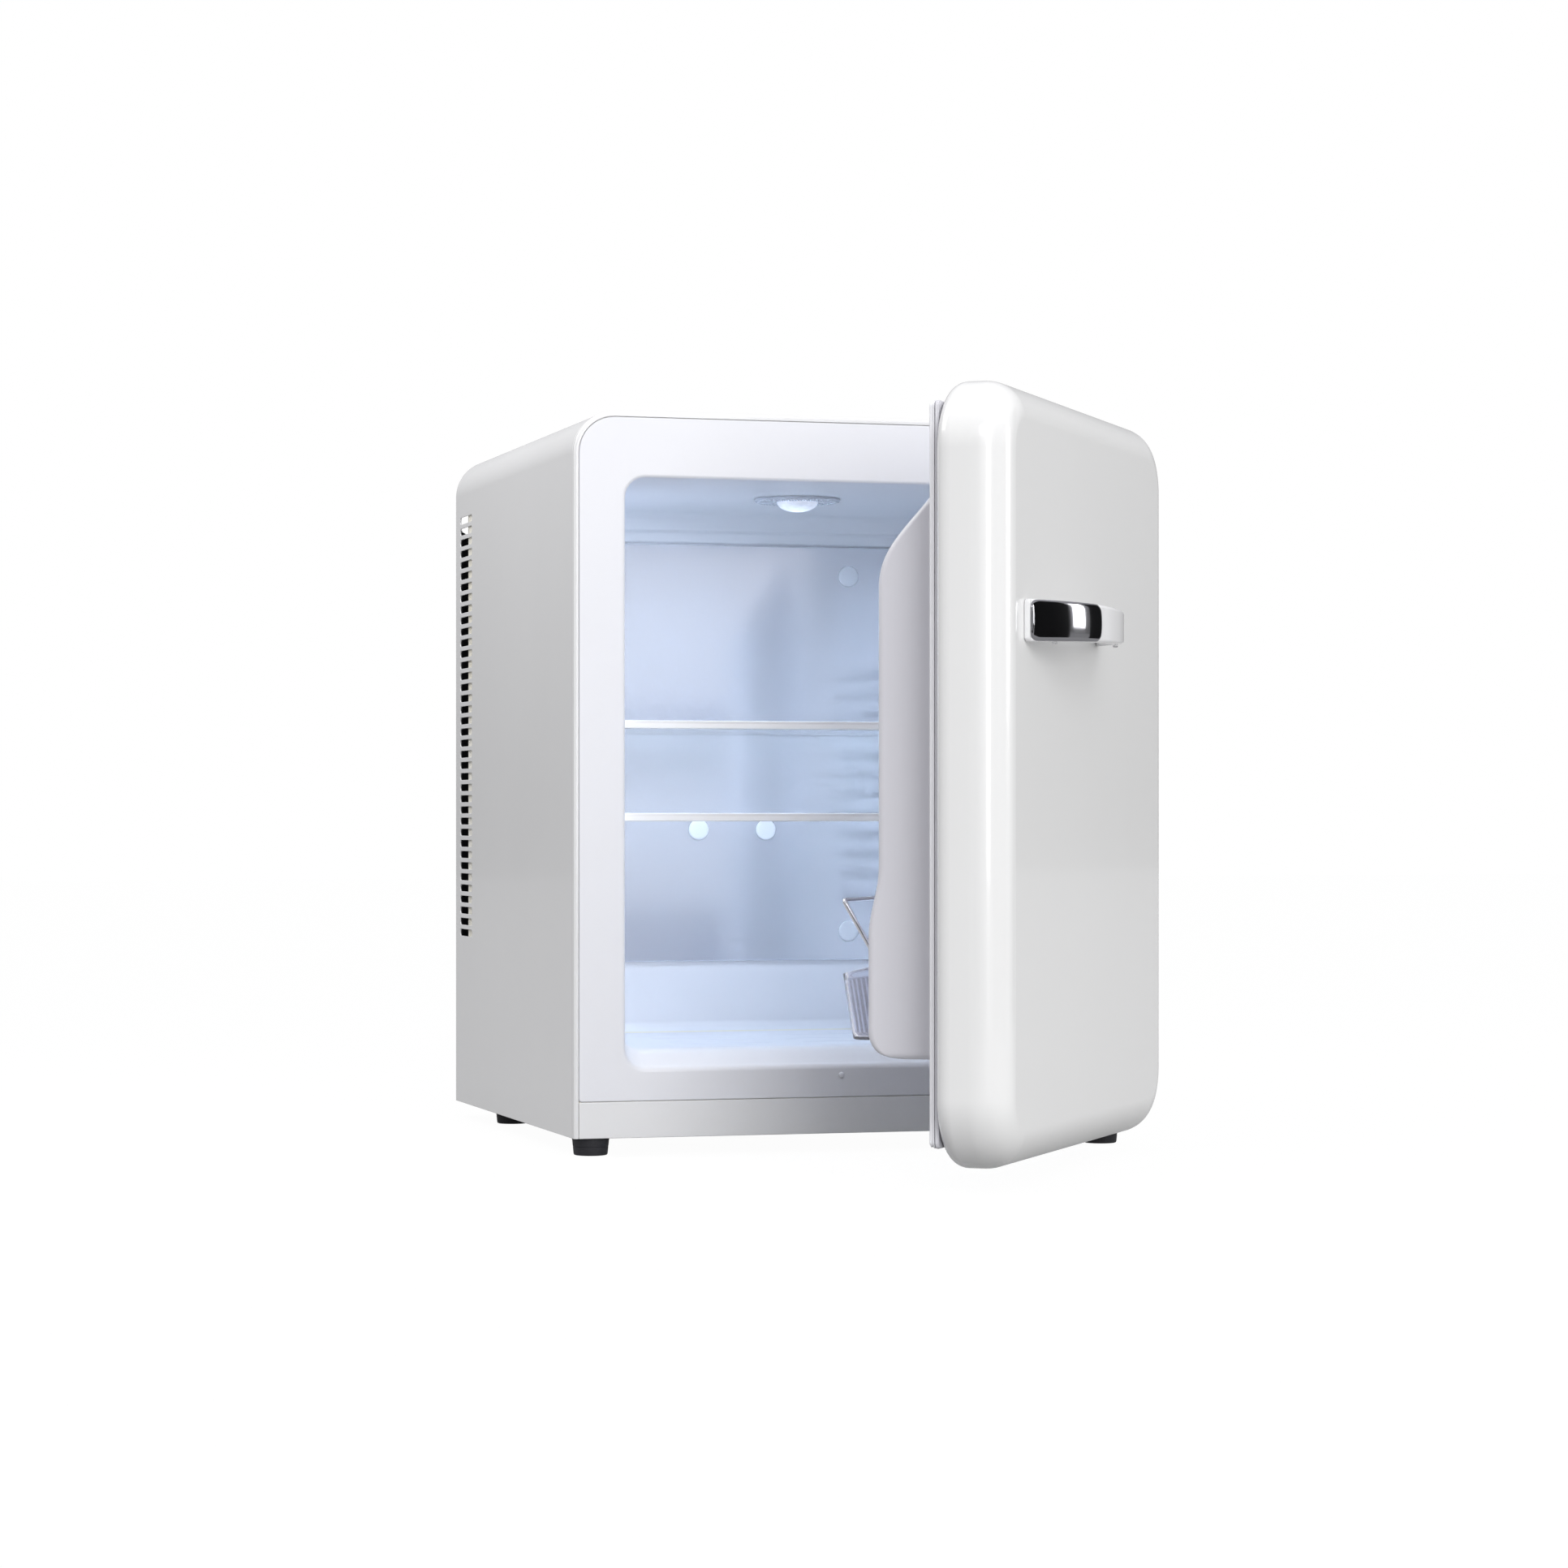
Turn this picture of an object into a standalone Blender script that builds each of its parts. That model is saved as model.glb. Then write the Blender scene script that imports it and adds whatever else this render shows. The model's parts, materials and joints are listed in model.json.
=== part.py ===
# Minibar fridge with its door open: steel wrap, moulded liner, foam, thermoelectric cooling unit and racks
import math
import bpy
import bmesh
from mathutils import Matrix, Vector

# Clearance between pieces that touch
GAP = 0.0003

# Cabinet; heights are from its underside, depths from its front plane, sides from its centre line
CABINET_WIDTH = 0.434
CABINET_HEIGHT = 0.534
CABINET_DEPTH = 0.425
CORNER_RADIUS = 0.031
SHEET = 0.001
BEAD_WIDTH = 0.0035
REAR_HEM = 0.003
KICK_HEIGHT = 0.0267
KICK_SHEET = 0.0012
CHAMBER_DEPTH = 0.045
BULKHEAD_SHEET = 0.0008

# Vent slots in both sides
SLOT_COUNT = 38
SLOT_PITCH = 0.00921
SLOT_HEIGHT = 0.0057
SLOT_LENGTH = 0.047
SLOT_FROM_REAR = 0.0182
FIRST_SLOT_BELOW_TOP = 0.0494

# Black rails that stiffen the rear edges of both sides
RAIL_WIDTH = 0.0098
RAIL_BELOW_TOP = 0.0595
RAIL_LEG = 0.0145
RAIL_SHEET = 0.001
RAIL_CORNER = 0.008

# Feet
FOOT_HEIGHT = 0.013
FOOT_RADIUS = 0.0138
FOOT_TAPER = 0.0012
FRONT_FOOT_INSET = 0.0165
REAR_FOOT_SIDE_INSET = 0.0285
REAR_FOOT_FROM_REAR = 0.09

# Inner liner and the cavity
FRAME_SIDE = 0.039
FRAME_TOP = 0.0482
SILL_HEIGHT = 0.0505
OPENING_RADIUS = 0.015
LINER_WALL = 0.0016
FLOOR_HEIGHT = 0.056
THRESHOLD_LIP = 0.0085
THRESHOLD_DEPTH = 0.021
THRESHOLD_FOOT = 0.004
PANEL_INSET = 0.001
FOAM_BEHIND_CAVITY = 0.033
COVE_DEPTH = 0.027
COVE_DROP = 0.023
REAR_FOOT_OF_WALL = 0.012

# Shelf ribs on the liner's sides
RIB_COUNT = 12
RIB_PITCH = 0.0174
RIB_HEIGHT = 0.0096
RIB_REACH = 0.015
RIB_BEHIND_TRIM = 0.0005
RIB_FROM_BACK = 0.012
LOWEST_RIB_TOP = 0.1822

# Shelves
LOWER_SHELF_RIB = 3
UPPER_SHELF_RIB = 7
PANE_THICKNESS = 0.0035
PANE_SIDE_CLEARANCE = 0.001
PANE_REAR_CLEARANCE = 0.006
TRIM_FRONT = 0.051
TRIM_DEPTH = 0.0095
TRIM_HEIGHT = 0.0063
TRIM_WALL = 0.0012

# Floor tray
TRAY_THICKNESS = 0.0027
TRAY_SIDE_CLEARANCE = 0.0005
TRAY_SLOT_COUNT = 5
TRAY_SLOT_LENGTH = 0.09
TRAY_SLOT_WIDTH = 0.004

# Cold plate and its caps
PLATE_THICKNESS = 0.002
PLATE_BOTTOM = 0.117
PLATE_SIDE_CLEARANCE = 0.008
PLATE_TOP_CLEARANCE = 0.0008
PLATE_CORNER = 0.012
CAP_RADIUS = 0.0085
CAP_HEIGHT = 0.0015
BLOCK_CAP_SPACING = 0.058
CORNER_CAP_SPACING = 0.202
CORNER_CAP_INSET = 0.024

# Ceiling lamp
LAMP_DEPTH = 0.155
LAMP_RADIUS = 0.034
LAMP_FLANGE = 0.002
DOME_RADIUS = 0.016
DOME_DROP = 0.008
LAMP_CUP_RADIUS = 0.0265
LAMP_CUP_DEPTH = 0.012
LAMP_CUP_WALL = 0.0015
BOARD_THICKNESS = 0.0016

# Sill plug
PLUG_RADIUS = 0.002
PLUG_HEIGHT = 0.0008
PLUG_SIDE = -0.012
PLUG_BELOW_SILL = 0.0072

# Cooling unit
BLOCK_HEIGHT_IN_CABINET = 0.226
BLOCK_WIDTH = 0.076
BLOCK_TALL = 0.05
MODULE_SIZE = 0.04
MODULE_THICKNESS = 0.0038
SINK_WIDTH = 0.15
SINK_TALL = 0.13
SINK_BASE = 0.005
FIN_COUNT = 14
FIN_THICKNESS = 0.0014
FIN_DEPTH = 0.016
FAN_SIZE = 0.08
FAN_THICKNESS = 0.015
FAN_BORE_RADIUS = 0.0375
FAN_TIP_CLEARANCE = 0.0012
HUB_RADIUS = 0.0155
STRUT_WIDTH = 0.004
STRUT_THICKNESS = 0.003
BLADE_COUNT = 7
BLADE_THICKNESS = 0.0013
BLADE_PITCH = 38.0

# Control box in the rear chamber
BOX_FROM_SIDE = 0.087
BOX_WIDTH = 0.13
BOX_BOTTOM = 0.03
BOX_TALL = 0.085
BOX_DEPTH = 0.034
INLET_WIDTH = 0.028
INLET_TALL = 0.02
INLET_DEPTH = 0.018
INLET_WALL = 0.002
DIAL_RADIUS = 0.012
DIAL_HEIGHT = 0.007
DIAL_GRIP = 0.0045

# Door; it is laid out closed, in front of the cabinet, and then turned open about its pins
DOOR_OPEN_ANGLE = 54.0
DOOR_BOTTOM = 0.001
DOOR_TOP_STEP = 0.0072
DOOR_SIDE_STEP = 0.0015
DOOR_THICKNESS = 0.0512
DOOR_CORNER_RADIUS = 0.048
DOOR_FRONT_ROUND = 0.026
DOOR_REAR_ROUND = 0.012
DOOR_SHEET = 0.0012
DOOR_LIP = 0.006
SEAL_THICKNESS = 0.0042
SEAL_WIDTH = 0.018
SEAL_INSET = 0.016
DOOR_LINER_WALL = 0.0012

# Cheeks of the door's liner
CHEEK_FROM_SIDE = 0.059
CHEEK_WIDTH = 0.026
CHEEK_BOTTOM = 0.072
CHEEK_BELOW_TOP = 0.059
CHEEK_TOP_DEPTH = 0.008
CHEEK_LOW_DEPTH = 0.0615
CHEEK_DEPTH = 0.054
CHEEK_CORNER = 0.018
CHEEK_STEP_START = 0.154
CHEEK_STEP_END = 0.202
CHEEK_TAPER = 0.085
CHEEK_EDGE = 0.005
LEDGE_REACH = 0.005
LEDGE_HEIGHT = 0.004

# Hinges
HINGE_SIDE_INSET = 0.016
HINGE_FORWARD = 0.026
HINGE_SEAT_DROP = 0.0245
NOTCH_SIDE_CLEARANCE = 0.0115
NOTCH_FRONT_CLEARANCE = 0.0145
BRACKET_SHEET = 0.002
BRACKET_WIDTH = 0.0126
BRACKET_LEG = 0.0145
BRACKET_REACH = 0.0075
HINGE_SPACE = 0.002
PIN_RADIUS = 0.003
PIN_HEAD_RADIUS = 0.005
PIN_HEAD = 0.0014
PIN_REACH = 0.011
BUSH_WALL = 0.0017
BUSH_FLANGE = 0.0014
BUSH_FLANGE_RADIUS = 0.007
BUSH_DEPTH = 0.013
SCREW_RADIUS = 0.0018
SCREW_HEAD_RADIUS = 0.0034
SCREW_HEAD = 0.0013

# Handle, measured along the door from its free edge
HANDLE_START = 0.044
HANDLE_LENGTH = 0.19
HANDLE_REACH = 0.038
HANDLE_HEIGHT_ON_DOOR = 0.3668
HANDLE_TALL = 0.029
HANDLE_TALL_END = 0.02
HANDLE_THICKNESS = 0.007
HANDLE_PEAK = 0.095
INSET_START = 0.002
INSET_LENGTH = 0.061
INSET_MARGIN = 0.001
INSET_THICKNESS = 0.0014

# Bottle bin, its wire retainer and the small upper bin
BIN_BOTTOM = 0.083
BIN_FRONT_HEIGHT = 0.045
BIN_BACK_HEIGHT = 0.066
BIN_DEPTH = 0.0905
BIN_FOOT_DEPTH = 0.083
BIN_WALL = 0.002
UPPER_BIN_BOTTOM = 0.31
UPPER_BIN_HEIGHT = 0.034
UPPER_BIN_DEPTH = 0.047
WIRE_RADIUS = 0.0017
WIRE_PIVOT_DEPTH = 0.064
WIRE_PIVOT_HEIGHT = 0.013
WIRE_BEND_HEIGHT = 0.04
WIRE_RISE = 0.043
WIRE_LEAN = 0.0255
WIRE_SIDE_CLEARANCE = 0.004

# Places that follow from the sizes above
HALF_WIDTH = CABINET_WIDTH / 2
FIRST_SLOT_TOP = CABINET_HEIGHT - FIRST_SLOT_BELOW_TOP
RAIL_TOP = CABINET_HEIGHT - RAIL_BELOW_TOP
OPENING_HALF = HALF_WIDTH - FRAME_SIDE
OPENING_TOP = CABINET_HEIGHT - FRAME_TOP
THRESHOLD_TOP = FLOOR_HEIGHT + THRESHOLD_LIP
BULKHEAD_FRONT = CABINET_DEPTH - CHAMBER_DEPTH
CAVITY_DEPTH = BULKHEAD_FRONT - FOAM_BEHIND_CAVITY
RIB_REAR = CAVITY_DEPTH - RIB_FROM_BACK
BOX_SIDE = HALF_WIDTH - BOX_FROM_SIDE
CHEEK_SIDE = HALF_WIDTH - CHEEK_FROM_SIDE
CHEEK_TOP = CABINET_HEIGHT - CHEEK_BELOW_TOP
CHEEK_TAPER_START = CHEEK_TOP - CHEEK_TAPER
FOAM_REAR = BULKHEAD_FRONT - GAP
PLATE_FRONT = CAVITY_DEPTH - GAP - PLATE_THICKNESS
RIB_TIP = OPENING_HALF - RIB_REACH
RIB_FRONT = TRIM_FRONT + TRIM_DEPTH + RIB_BEHIND_TRIM
SINK_FRONT = FOAM_REAR + MODULE_THICKNESS + 2 * GAP
FAN_FRONT = SINK_FRONT + SINK_BASE + FIN_DEPTH + GAP
DOOR_HALF = HALF_WIDTH - DOOR_SIDE_STEP
DOOR_TOP = CABINET_HEIGHT - DOOR_TOP_STEP
SEAL_FACE = -GAP
LINER_FACE = SEAL_FACE - SEAL_THICKNESS - GAP
LIP_FACE = LINER_FACE - DOOR_LINER_WALL - GAP
DOOR_FACE = LIP_FACE - DOOR_THICKNESS
HINGE_X = HALF_WIDTH - HINGE_SIDE_INSET
HINGE_Y = -HINGE_FORWARD
LOWER_SEAT = DOOR_BOTTOM + HINGE_SEAT_DROP
UPPER_SEAT = DOOR_TOP - HINGE_SEAT_DROP
CHEEK_INNER = CHEEK_SIDE - CHEEK_WIDTH
BIN_HALF = CHEEK_INNER - GAP


def clear_scene():
    for old in list(bpy.data.objects):
        bpy.data.objects.remove(old, do_unlink=True)


def material(name, colour, roughness, metallic=0.0, alpha=1.0):
    made = bpy.data.materials.new(name)
    made.use_nodes = True
    shader = made.node_tree.nodes["Principled BSDF"]
    shader.inputs["Base Color"].default_value = (*colour, 1.0)
    shader.inputs["Roughness"].default_value = roughness
    shader.inputs["Metallic"].default_value = metallic
    shader.inputs["Alpha"].default_value = alpha
    made.diffuse_color = (*colour, alpha)
    return made


def empty(name, place, parent=None):
    made = bpy.data.objects.new(name, None)
    bpy.context.scene.collection.objects.link(made)
    made.location = place
    made.parent = parent
    return made


class Finish:
    """Colour, roughness and metallic value of one kind of surface."""

    def __init__(self, colour, roughness, metallic=0.0, alpha=1.0):
        self.values = (colour, roughness, metallic, alpha)

    def for_node(self, name):
        return material(name + "_finish", *self.values)


WHITE_PAINT = Finish((0.82, 0.82, 0.84), 0.22)
LINER_WHITE = Finish((0.80, 0.81, 0.84), 0.35)
PLATE_WHITE = Finish((0.82, 0.84, 0.88), 0.18)
FOAM = Finish((0.88, 0.84, 0.70), 0.9)
DARK_STEEL = Finish((0.03, 0.03, 0.035), 0.5, 0.3)
BLACK_PLASTIC = Finish((0.02, 0.02, 0.022), 0.45)
BLACK_RUBBER = Finish((0.025, 0.025, 0.03), 0.8)
BARE_METAL = Finish((0.62, 0.63, 0.65), 0.35, 1.0)
CHROME = Finish((0.75, 0.76, 0.80), 0.06, 1.0)
CERAMIC = Finish((0.85, 0.85, 0.82), 0.6)
CLEAR = Finish((0.85, 0.88, 0.95), 0.08, 0.0, 0.35)
GLASS = Finish((0.80, 0.88, 0.88), 0.03, 0.0, 0.35)
SEAL_GREY = Finish((0.72, 0.72, 0.75), 0.55)
BOARD_GREEN = Finish((0.9, 0.9, 0.86), 0.5)


def add_object(name, mesh_edit, finish, parent, place=(0, 0, 0), smooth=40.0):
    """One named object at place; the bmesh holds cabinet coordinates."""
    bmesh.ops.recalc_face_normals(mesh_edit, faces=mesh_edit.faces)
    bmesh.ops.translate(mesh_edit, verts=mesh_edit.verts, vec=-Vector(place))
    mesh = bpy.data.meshes.new(name)
    mesh_edit.to_mesh(mesh)
    mesh_edit.free()
    made = bpy.data.objects.new(name, mesh)
    bpy.context.scene.collection.objects.link(made)
    made.parent = parent
    if parent is not None and parent.get("axis_place"):
        made.location = Vector(place) - Vector(parent["axis_place"])
    else:
        made.location = place
    if finish is not None:
        mesh.materials.append(finish.for_node(name))
        mesh.shade_smooth()
        mesh.set_sharp_from_angle(angle=math.radians(smooth))
    return made


def outline(half, bottom, top, radius, top_radius=None, steps=4, centre=0.0):
    """Corner points of a rounded rectangle, as (side, height), the same count for any radius."""
    top_radius = radius if top_radius is None else top_radius
    corners = [(centre - half, bottom, radius, 180), (centre + half, bottom, radius, 270),
               (centre + half, top, top_radius, 0), (centre - half, top, top_radius, 90)]
    points = []
    for x, z, r, start in corners:
        inner_x = x + r if x < centre else x - r
        inner_z = z + r if z == bottom else z - r
        for step in range(steps + 1):
            angle = math.radians(start + 90 * step / steps)
            points.append((inner_x + r * math.cos(angle), inner_z + r * math.sin(angle)))
    return points


def ring(points, depth):
    return [Vector((x, depth, z)) for x, z in points]


def loft(rings, closed=False):
    """Skin over rings of equal count, capped at both ends or closed on itself."""
    skin = bmesh.new()
    rows = [[skin.verts.new(point) for point in points] for points in rings]
    count = len(rows[0])
    pairs = list(zip(rows, rows[1:]))
    if closed:
        pairs.append((rows[-1], rows[0]))
    for one, two in pairs:
        for i in range(count):
            j = (i + 1) % count
            skin.faces.new((one[i], one[j], two[j], two[i]))
    if not closed:
        skin.faces.new(rows[0])
        skin.faces.new(rows[-1])
    return skin


def block(low, high):
    return loft([[Vector((low[0], y, low[2])), Vector((high[0], y, low[2])),
                  Vector((high[0], y, high[2])), Vector((low[0], y, high[2]))] for y in (low[1], high[1])])


def turned(profile, centre, axis, segments=24):
    """Solid of revolution of (radius, along) points about axis; a radius of 0 closes an end."""
    turn = Vector((0, 0, 1)).rotation_difference(Vector(axis)).to_matrix()
    solid = bmesh.new()
    rows = []
    for radius, along in profile:
        count = 1 if radius == 0 else segments
        row = []
        for i in range(count):
            angle = 2 * math.pi * i / segments
            local = Vector((radius * math.cos(angle), radius * math.sin(angle), along))
            row.append(solid.verts.new(Vector(centre) + turn @ local))
        rows.append(row)
    for one, two in zip(rows, rows[1:] + rows[:1]):
        if len(one) == 1 and len(two) == 1:
            continue
        for i in range(segments):
            j = (i + 1) % segments
            if len(one) == 1:
                solid.faces.new((one[0], two[j], two[i]))
            elif len(two) == 1:
                solid.faces.new((one[i], one[j], two[0]))
            else:
                solid.faces.new((one[i], one[j], two[j], two[i]))
    return solid


def rod(radius, length, centre, axis, segments=16):
    """Plain cylinder from centre along axis."""
    return turned([(0, 0), (radius, 0), (radius, length), (0, length)], centre, axis, segments)


def prism(points, lift):
    """Flat outline of 3-D points, pushed along lift."""
    return loft([points, [point + lift for point in points]])


def join(parts):
    """Several solids in one bmesh."""
    whole = bmesh.new()
    for part in parts:
        scratch = bpy.data.meshes.new("scratch")
        part.to_mesh(scratch)
        part.free()
        whole.from_mesh(scratch)
        bpy.data.meshes.remove(scratch)
    return whole


def tool_object(name, mesh_edit, parent, place=(0, 0, 0)):
    made = add_object(name, mesh_edit, None, parent, place)
    made.hide_render = True
    made.display_type = "WIRE"
    return made


def combine(target, tool, operation):
    step = target.modifiers.new(tool.name, "BOOLEAN")
    step.operation = operation
    step.solver = "EXACT"
    step.object = tool


def cut(target, tool):
    combine(target, tool, "DIFFERENCE")


def weld(target, tool):
    combine(target, tool, "UNION")


# Cabinet shell

def wrap_path(steps=6):
    """Outside of the wrap from the left foot over the top, as (point, inward direction)."""
    centre = HALF_WIDTH - CORNER_RADIUS
    shoulder = CABINET_HEIGHT - CORNER_RADIUS
    path = [((-HALF_WIDTH, 0.0), (1.0, 0.0))]
    for start, side in ((180, -1), (90, 1)):
        for step in range(steps + 1):
            angle = math.radians(start - 90 * step / steps)
            way = (math.cos(angle), math.sin(angle))
            spot = (side * centre + CORNER_RADIUS * way[0], shoulder + CORNER_RADIUS * way[1])
            path.append((spot, (-way[0], -way[1])))
    path.append(((HALF_WIDTH, 0.0), (-1.0, 0.0)))
    return path


def vent_slots(side):
    """Cutters for one side: rounded slots near the rear edge."""
    half = SLOT_HEIGHT / 2
    near = CABINET_DEPTH - SLOT_FROM_REAR - SLOT_LENGTH + half
    far = CABINET_DEPTH - SLOT_FROM_REAR - half
    slots = []
    for index in range(SLOT_COUNT):
        middle = FIRST_SLOT_TOP - half - index * SLOT_PITCH
        points = []
        for centre, start in ((far, -90), (near, 90)):
            for step in range(4):
                angle = math.radians(start + 60 * step)
                y = centre + half * math.cos(angle)
                z = middle + half * math.sin(angle)
                points.append(Vector((side * (HALF_WIDTH + SHEET), y, z)))
        slots.append(prism(points, Vector((-side * 3 * SHEET, 0, 0))))
    return join(slots)


def cabinet_wrap(parent):
    section = [(BEAD_WIDTH, 0), (0, 0), (0, CABINET_DEPTH), (REAR_HEM, CABINET_DEPTH),
               (REAR_HEM, CABINET_DEPTH - SHEET), (SHEET, CABINET_DEPTH - SHEET), (SHEET, SHEET),
               (BEAD_WIDTH, SHEET)]
    rings = [[Vector((x + inward * nx, depth, z + inward * nz)) for inward, depth in section]
             for (x, z), (nx, nz) in wrap_path()]
    wrap = add_object("cabinet_wrap", loft(rings), WHITE_PAINT, parent)
    for name, side in (("left_slot_tool", -1), ("right_slot_tool", 1)):
        cut(wrap, tool_object(name, vent_slots(side), parent))


def base_and_kick(parent):
    half = HALF_WIDTH - SHEET - GAP
    rear = CABINET_DEPTH - SHEET - GAP
    add_object("base_plate", block((-half, KICK_SHEET + GAP, 0), (half, rear, SHEET)), DARK_STEEL, parent)
    half = HALF_WIDTH - BEAD_WIDTH - GAP
    add_object("kick_panel", block((-half, 0, 0), (half, KICK_SHEET, KICK_HEIGHT)), WHITE_PAINT, parent)


def rear_rails(parent):
    """Angle strips behind the vent slots; the rear leg's upper inner corner is rounded."""
    rear = CABINET_DEPTH - SHEET - GAP
    wall = HALF_WIDTH - SHEET - GAP
    low = SHEET + GAP
    for name, side in (("rear_rail_left", -1), ("rear_rail_right", 1)):
        leg = block((min(side * wall, side * (wall - RAIL_SHEET)), rear - RAIL_LEG, low),
                    (max(side * wall, side * (wall - RAIL_SHEET)), rear, RAIL_TOP))
        rail = add_object(name, leg, DARK_STEEL, parent)
        inner = wall - RAIL_WIDTH
        points = [(wall - RAIL_SHEET / 2, low), (wall - RAIL_SHEET / 2, RAIL_TOP)]
        for step in range(6):
            angle = math.radians(90 + 18 * step)
            points.append((inner + RAIL_CORNER * (1 + math.cos(angle)),
                           RAIL_TOP - RAIL_CORNER * (1 - math.sin(angle))))
        points.append((inner, low))
        face = prism([Vector((side * x, rear - RAIL_SHEET, z)) for x, z in points], Vector((0, RAIL_SHEET, 0)))
        weld(rail, tool_object(name + "_face_tool", face, parent))


def feet(parent):
    front_side = HALF_WIDTH - FRONT_FOOT_INSET
    rear_side = HALF_WIDTH - REAR_FOOT_SIDE_INSET
    rear = CABINET_DEPTH - REAR_FOOT_FROM_REAR
    places = {"foot_front_left": (-front_side, FRONT_FOOT_INSET), "foot_front_right": (front_side, FRONT_FOOT_INSET),
              "foot_rear_left": (-rear_side, rear), "foot_rear_right": (rear_side, rear)}
    profile = [(0, -FOOT_HEIGHT), (FOOT_RADIUS - FOOT_TAPER, -FOOT_HEIGHT), (FOOT_RADIUS, -GAP), (0, -GAP)]
    for name, (x, y) in places.items():
        add_object(name, turned(profile, (x, y, 0), (0, 0, 1), 24), BLACK_RUBBER, parent)


# Inner liner, foam and bulkhead

def cavity_rings(skin):
    """Rings from the cavity's back wall to its mouth, offset outwards by skin."""
    cove_top = OPENING_TOP - COVE_DROP
    back_radius = OPENING_RADIUS + REAR_FOOT_OF_WALL / 2
    stations = [(CAVITY_DEPTH + skin, FLOOR_HEIGHT + REAR_FOOT_OF_WALL, cove_top, back_radius),
                (CAVITY_DEPTH - REAR_FOOT_OF_WALL + skin, FLOOR_HEIGHT, cove_top + COVE_DROP * 0.55, OPENING_RADIUS),
                (CAVITY_DEPTH - COVE_DEPTH + skin, FLOOR_HEIGHT, OPENING_TOP, OPENING_RADIUS),
                (THRESHOLD_DEPTH + THRESHOLD_FOOT, FLOOR_HEIGHT, OPENING_TOP, OPENING_RADIUS),
                (THRESHOLD_DEPTH, THRESHOLD_TOP, OPENING_TOP, OPENING_RADIUS),
                (THRESHOLD_DEPTH * 0.62, THRESHOLD_TOP - 0.003, OPENING_TOP, OPENING_RADIUS),
                (THRESHOLD_DEPTH * 0.25, SILL_HEIGHT + 0.004, OPENING_TOP, OPENING_RADIUS)]
    return [ring(outline(OPENING_HALF + skin, low - skin, high + skin, radius + skin), depth)
            for depth, low, high, radius in stations]


def rib_solids():
    """Bars that the shelves slide between, rooted in the liner's side walls."""
    bars = []
    for side in (-1, 1):
        for index in range(RIB_COUNT):
            top = LOWEST_RIB_TOP + index * RIB_PITCH
            root = OPENING_HALF + LINER_WALL / 2
            low_x, high_x = sorted((side * RIB_TIP, side * root))
            bars.append(block((low_x, RIB_FRONT, top - RIB_HEIGHT), (high_x, RIB_REAR, top)))
    return join(bars)


def lamp_hole():
    top = OPENING_TOP + LAMP_CUP_DEPTH + LINER_WALL + 2 * GAP
    length = top - OPENING_TOP + 2 * LINER_WALL
    radius = LAMP_CUP_RADIUS + GAP
    return rod(radius, length, (0, LAMP_DEPTH, top - length), (0, 0, 1), 24)


def block_hole():
    half = BLOCK_WIDTH / 2 + GAP
    tall = BLOCK_TALL / 2 + GAP
    return block((-half, CAVITY_DEPTH - LINER_WALL, BLOCK_HEIGHT_IN_CABINET - tall),
                 (half, BULKHEAD_FRONT, BLOCK_HEIGHT_IN_CABINET + tall))


def liner_panels():
    """Room of the liner's front frame and of the panels behind it, as (name, low corner, high corner)."""
    side = OPENING_HALF - OPENING_RADIUS - PANEL_INSET
    beyond = HALF_WIDTH
    front = THRESHOLD_DEPTH + THRESHOLD_FOOT
    rear = CAVITY_DEPTH + 2 * LINER_WALL
    low = SHEET
    top = CABINET_HEIGHT - SHEET
    seam = OPENING_TOP - COVE_DROP - PANEL_INSET
    behind = front + GAP
    return [("inner_liner", (-beyond, -SHEET, low), (beyond, front, top)),
            ("liner_side_left", (-beyond, behind, low), (-side, rear, top)),
            ("liner_side_right", (side, behind, low), (beyond, rear, top)),
            ("liner_ceiling", (GAP - side, behind, seam), (side - GAP, rear, top)),
            ("liner_floor_and_back", (GAP - side, behind, low), (side - GAP, rear, seam - GAP))]


def inner_liner(parent):
    half = HALF_WIDTH - BEAD_WIDTH - GAP
    bottom = KICK_HEIGHT + GAP
    top = CABINET_HEIGHT - BEAD_WIDTH - GAP
    edge = outline(half, bottom, top, 0.002, CORNER_RADIUS - BEAD_WIDTH - GAP)
    mouth = outline(OPENING_HALF, SILL_HEIGHT, OPENING_TOP, OPENING_RADIUS)
    outer_mouth = outline(OPENING_HALF + LINER_WALL, SILL_HEIGHT - LINER_WALL, OPENING_TOP + LINER_WALL,
                          OPENING_RADIUS + LINER_WALL)
    rings = cavity_rings(0.0) + [ring(mouth, 0.0), ring(edge, 0.0), ring(edge, LINER_WALL),
                                 ring(outer_mouth, LINER_WALL)]
    rings += list(reversed(cavity_rings(LINER_WALL)))
    whole = tool_object("liner_body_tool", loft(rings), parent)
    weld(whole, tool_object("rib_tool", rib_solids(), parent))
    cut(whole, tool_object("lamp_hole_tool", lamp_hole(), parent))
    cut(whole, tool_object("block_hole_tool", block_hole(), parent))
    for name, low, high in liner_panels():
        combine(add_object(name, block(low, high), LINER_WHITE, parent), whole, "INTERSECT")


def insulation_foam(parent):
    skin = SHEET + GAP
    shell = outline(HALF_WIDTH - skin, skin, CABINET_HEIGHT - skin, 0.002, CORNER_RADIUS - skin)
    front = max(LINER_WALL, KICK_SHEET) + GAP
    offset = LINER_WALL + GAP
    mouth = outline(OPENING_HALF + offset, SILL_HEIGHT - offset, OPENING_TOP + offset, OPENING_RADIUS + offset)
    rings = [ring(shell, FOAM_REAR), ring(shell, front), ring(mouth, front)]
    rings += list(reversed(cavity_rings(offset)))
    foam = add_object("insulation_foam", loft(rings), FOAM, parent)
    cut(foam, tool_object("lamp_recess_tool", lamp_hole(), parent))
    cut(foam, tool_object("block_recess_tool", block_hole(), parent))


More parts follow.
